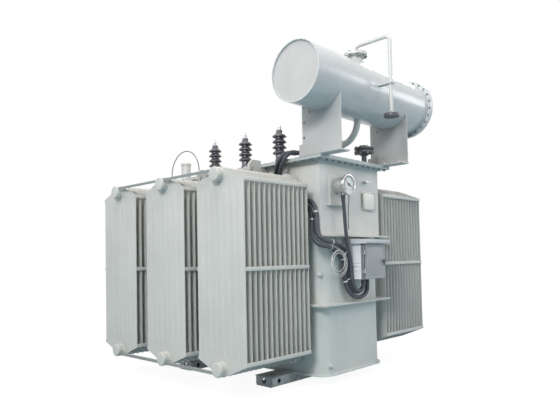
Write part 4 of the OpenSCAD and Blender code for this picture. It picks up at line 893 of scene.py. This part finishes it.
addRay(needleMesh, **gaugeSpec["needle"])
addRound(inkMesh, faceCentre, alongX, **gaugeSpec["hub"], segments=20)
makePiece("gaugeCase", caseMesh, "case", replaces=["thermometer"], smooth=40)
makePiece("gaugeFace", faceMesh, "dial")
makePiece("gaugeTicks", inkMesh, "ink")
makePiece("gaugeNeedle", needleMesh, "needle")
print("thermometer fitted")


# capillary coil: thin turns that hang in front of the conduit, each with its shift and radius
coilSpec = {"wire": 0.0022, "turns": [((0.0, 0.0, 0.0), 0.0945), ((0.0045, -0.010, 0.003), 0.0835),
                                      ((-0.0045, 0.007, -0.005), 0.0760), ((0.0015, -0.004, 0.008), 0.0645)]}
low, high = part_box("capillary_coil")
coilCentre = (low + high) / 2
coilMesh = bmesh.new()
for shift, radius in coilSpec["turns"]:
    addRing(coilMesh, coilCentre + Vector(shift), alongX, radius, coilSpec["wire"])
makePiece("coilTurns", coilMesh, "coilWire", replaces=["capillary_coil"], smooth=60)


# ties round the conduits, at these points of their routes, and at both sides of the coil
tieSpec = {"width": 0.009, "thickness": 0.0014, "sink": 0.001, "pointsA": (13, 24, 27, 21, 15),
           "pointsB": (13, 25, 28, 21, 15)}
coilTieSpec = {"places": [(-0.06555, -0.06156), (0.06555, 0.06156)], "axis": (0, 0.72, -0.69),
               "inner": 0.0075, "outer": 0.0085, "width": 0.010}
tieMesh = bmesh.new()
for route, indices in ((relayRouteA, tieSpec["pointsA"]), (relayRouteB, tieSpec["pointsB"])):
    points, radius = inMetres(route), conduitSpec["relay"]
    for index in indices:
        addBand(tieMesh, points[index], points[index + 1] - points[index - 1], radius - tieSpec["sink"],
                radius + tieSpec["thickness"], tieSpec["width"], steps=24)
for shiftY, shiftZ in coilTieSpec["places"]:
    addBand(tieMesh, coilCentre + Vector((0, shiftY, shiftZ)), coilTieSpec["axis"], coilTieSpec["inner"],
            coilTieSpec["outer"], coilTieSpec["width"], steps=20)
makePiece("conduitTies", tieMesh, "tie")


# two thin leads under the thermometer, with points in millimetres
leadSpec = {"radius": 0.0032, "routes": [
    [(908, -237, 1350), (910, -239, 1320), (908, -222, 1250), (914, -204, 1185), (916, -196, 1150)],
    [(908, -153, 1350), (910, -149, 1320), (912, -160, 1250), (916, -172, 1185), (914, -168, 1090)]]}
leadMesh = bmesh.new()
for route in leadSpec["routes"]:
    leadMesh.from_mesh(sweptMesh("lead", inMetres(route), leadSpec["radius"]))
makePiece("gaugeLeads", leadMesh, "conduit", smooth=60)
print("coil, ties and leads hung")


# weld beads where plates meet
beadSpec = {"radius": 0.0045, "corner": 0.100, "arc": 8,
            "drum": {"inset": 0.012, "radius": 0.1975, "wire": 0.004, "steps": 72, "sides": 6}}
wallLow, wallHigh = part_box("tank_lower_wall")
upperLow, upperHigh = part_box("tank_upper_wall")
ringLow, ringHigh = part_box("lower_stiffener")


def roundedLoop(halfX, halfY, z):
    corner, arc, loop = beadSpec["corner"], beadSpec["arc"], []
    for signX, signY, start in ((1, 1, 0), (-1, 1, 90), (-1, -1, 180), (1, -1, 270)):
        for k in range(arc + 1):
            angle = math.radians(start + 90 * k / arc)
            loop.append(Vector((signX * (halfX - corner) + corner * math.cos(angle),
                                signY * (halfY - corner) + corner * math.sin(angle), z)))
    return loop


def squareLoop(halfX, halfY, z):
    return [Vector((halfX * a, halfY * b, z)) for a, b in ((1, 1), (-1, 1), (-1, -1), (1, -1))]


loops = [roundedLoop(wallHigh.x, wallHigh.y, z) for z in (wallLow.z, ringLow.z, ringHigh.z, wallHigh.z)]
loops += [squareLoop(upperHigh.x, upperHigh.y, z) for z in (upperLow.z, upperHigh.z)]
beadMesh = bmesh.new()
for loop in loops:
    beadMesh.from_mesh(sweptMesh("bead", loop, beadSpec["radius"], closed=True, sides=1, straight=True))
spec = beadSpec["drum"]
drumSeam = Vector((drumAxis.x, drumLow.y + spec["inset"], drumAxis.z))
addRing(beadMesh, drumSeam, alongY, spec["radius"], spec["wire"], spec["steps"], spec["sides"])
makePiece("weldBeads", beadMesh, "seam", smooth=60)
print("welds laid")


# earthing boss low on the round corner by the end wall
earthSpec = {"angle": 13, "height": 0.135, "radius": 0.016, "topShare": 0.94, "length": 0.012,
             "sink": 0.001, "nut": 0.012}
earthAngle = math.radians(earthSpec["angle"])
earthOut = Vector((math.cos(earthAngle), -math.sin(earthAngle), 0))
cornerMiddle = Vector((wallHigh.x - beadSpec["corner"], wallLow.y + beadSpec["corner"], earthSpec["height"]))
earthPlace = cornerMiddle + earthOut * (beadSpec["corner"] - earthSpec["sink"])
earthMesh = bmesh.new()
addRound(earthMesh, earthPlace, earthOut, earthSpec["radius"], earthSpec["length"], segments=24,
         topRadius=earthSpec["radius"] * earthSpec["topShare"])
addNut(earthMesh, earthPlace + earthOut * earthSpec["length"], earthOut, earthSpec["nut"])
makePiece("earthBoss", earthMesh, "lowerPaint")
print("earthing boss welded")


# terminal box: raised door field, seal behind the door, and a dark band under the hinges that is painted
# shade
boxSpec = {"hingeRoom": 0.019, "field": 0.022, "fieldRise": 0.0014, "fieldEdge": 0.0012, "latchRoom": 0.044,
           "seal": 0.010, "sealDepth": 0.004, "sealAt": 0.0065, "sealInset": 0.004, "sealEdge": 0.001,
           "doorGap": 0.005, "band": 0.023, "bandRise": 0.001, "bandEdge": 0.0004,
           "bandBack": 0.0005, "sink": 0.001}
doorLow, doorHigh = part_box("terminal_box_door")
boxLow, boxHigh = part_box("terminal_box")
doorNear = doorLow.y + boxSpec["hingeRoom"]   # the sheet starts past the hinge barrels
fieldMesh, sealMesh, shadeBandMesh = bmesh.new(), bmesh.new(), bmesh.new()
addBlock(fieldMesh, (doorHigh.x - boxSpec["sink"], doorNear + boxSpec["field"], doorLow.z + boxSpec["field"]),
         (doorHigh.x + boxSpec["fieldRise"], doorHigh.y - boxSpec["latchRoom"],
          doorHigh.z - boxSpec["field"]), boxSpec["fieldEdge"])
makePiece("doorField", fieldMesh, "boxPaint", body=doorBody)
sealBack, inset = doorLow.x + boxSpec["sealAt"], boxSpec["sealInset"]
addFrame(sealMesh, (sealBack, doorNear + inset, doorLow.z + inset),
         (sealBack + boxSpec["sealDepth"], doorHigh.y - inset, doorHigh.z - inset),
         boxSpec["seal"], boxSpec["sealEdge"])
makePiece("doorSeal", sealMesh, "rubber", body=doorBody)
boxNear, sink = doorNear - boxSpec["doorGap"], boxSpec["sink"]
# a thin dark sheet on the box's side in front of the door: painted shade under the hinges
addBlock(shadeBandMesh, (boxHigh.x - boxSpec["band"], boxNear - boxSpec["bandRise"], boxLow.z + sink),
         (boxHigh.x - boxSpec["bandBack"], boxNear + sink, boxHigh.z - sink), boxSpec["bandEdge"])
makePiece("hingeShadeBand", shadeBandMesh, "hingeShadePaint")
print("terminal box trimmed")


# bare rating plate on four spacers, with a frame and screws
plateSpec = {"sheet": 0.004, "edge": 0.0008, "back": 0.0002, "corner": 0.012, "spacer": 0.0068, "rim": 0.005,
             "rise": 0.0009, "sink": 0.0004, "screw": 0.0045, "screwTop": 0.7, "screwHeight": 0.0022}
low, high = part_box("rating_plate")
face, corner, rim = high.x - plateSpec["back"], plateSpec["corner"], plateSpec["rim"]
spacerLength = high.x - low.x - plateSpec["sheet"]
plateMesh, fittingMesh = bmesh.new(), bmesh.new()
addBlock(plateMesh, (high.x - plateSpec["sheet"], low.y, low.z), (face, high.y, high.z), plateSpec["edge"])
for y in (low.y + corner, high.y - corner):
    for z in (low.z + corner, high.z - corner):
        addRound(plateMesh, (low.x, y, z), alongX, plateSpec["spacer"], spacerLength, segments=20)
        addRound(fittingMesh, (face, y, z), alongX, plateSpec["screw"], plateSpec["screwHeight"], segments=16,
                 topRadius=plateSpec["screw"] * plateSpec["screwTop"])
makePiece("ratingPlate", plateMesh, "plate", replaces=["rating_plate"])
addFrame(fittingMesh, (high.x - plateSpec["sink"], low.y + rim, low.z + rim),
         (high.x + plateSpec["rise"], high.y - rim, high.z - rim), rim)


# small fittings: nuts of the relief valve, pipe clamp, bolts of the conservator's legs
reliefSpec = {"size": 0.010, "circle": 0.066, "count": 8, "turn": 0.2, "top": 0.139, "drop": 0.043,
              "footSize": 0.009, "footCircle": 0.050, "footCount": 6, "footTop": 0.012}
clampSpec = {"radius": 0.0165, "wire": 0.0034, "steps": 40}
legSpec = {"footBolt": 0.014, "footY": 0.380, "footInset": 0.050, "footTop": 0.010, "bolt": 0.009,
           # face of each leg, then places across from the drum's axis and heights
           "near": {"face": -0.430,
                    "places": [(-0.152, 1.950), (-0.152, 1.842), (-0.152, 1.735), (-0.100, 1.909)]},
           "far": {"face": 0.422, "places": [(-0.100, 1.900)]}}
low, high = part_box("pressure_relief_valve")
reliefFoot = Vector(((low.x + high.x) / 2, (low.y + high.y) / 2, low.z))
spec = reliefSpec
for spot in circlePlaces(reliefFoot + alongZ * spec["top"], alongZ, spec["circle"], spec["count"],
                         spec["turn"]):
    addNut(fittingMesh, spot, alongZ, spec["size"])
    addBolt(fittingMesh, spot - alongZ * spec["drop"], -alongZ, spec["size"])
for spot in circlePlaces(reliefFoot + alongZ * spec["footTop"], alongZ, spec["footCircle"],
                         spec["footCount"]):
    addNut(fittingMesh, spot, alongZ, spec["footSize"])
low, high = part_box("breather_clamp")
clampMiddle = Vector((breatherX, 0, (low.z + high.z) / 2))
addRing(fittingMesh, clampMiddle, alongZ, **clampSpec)
for side, key in ((-1, "near"), (1, "far")):
    low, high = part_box(key + "_leg")
    for x in (low.x + legSpec["footInset"], (low.x + high.x) / 2, high.x - legSpec["footInset"]):
        spot = (x, side * legSpec["footY"], low.z + legSpec["footTop"])
        addNut(fittingMesh, spot, alongZ, legSpec["footBolt"])
    for across, z in legSpec[key]["places"]:
        addBolt(fittingMesh, (drumAxis.x + across, legSpec[key]["face"], z), -alongY, legSpec["bolt"])
makePiece("smallFittings", fittingMesh, "bolt")
print("small fittings placed")
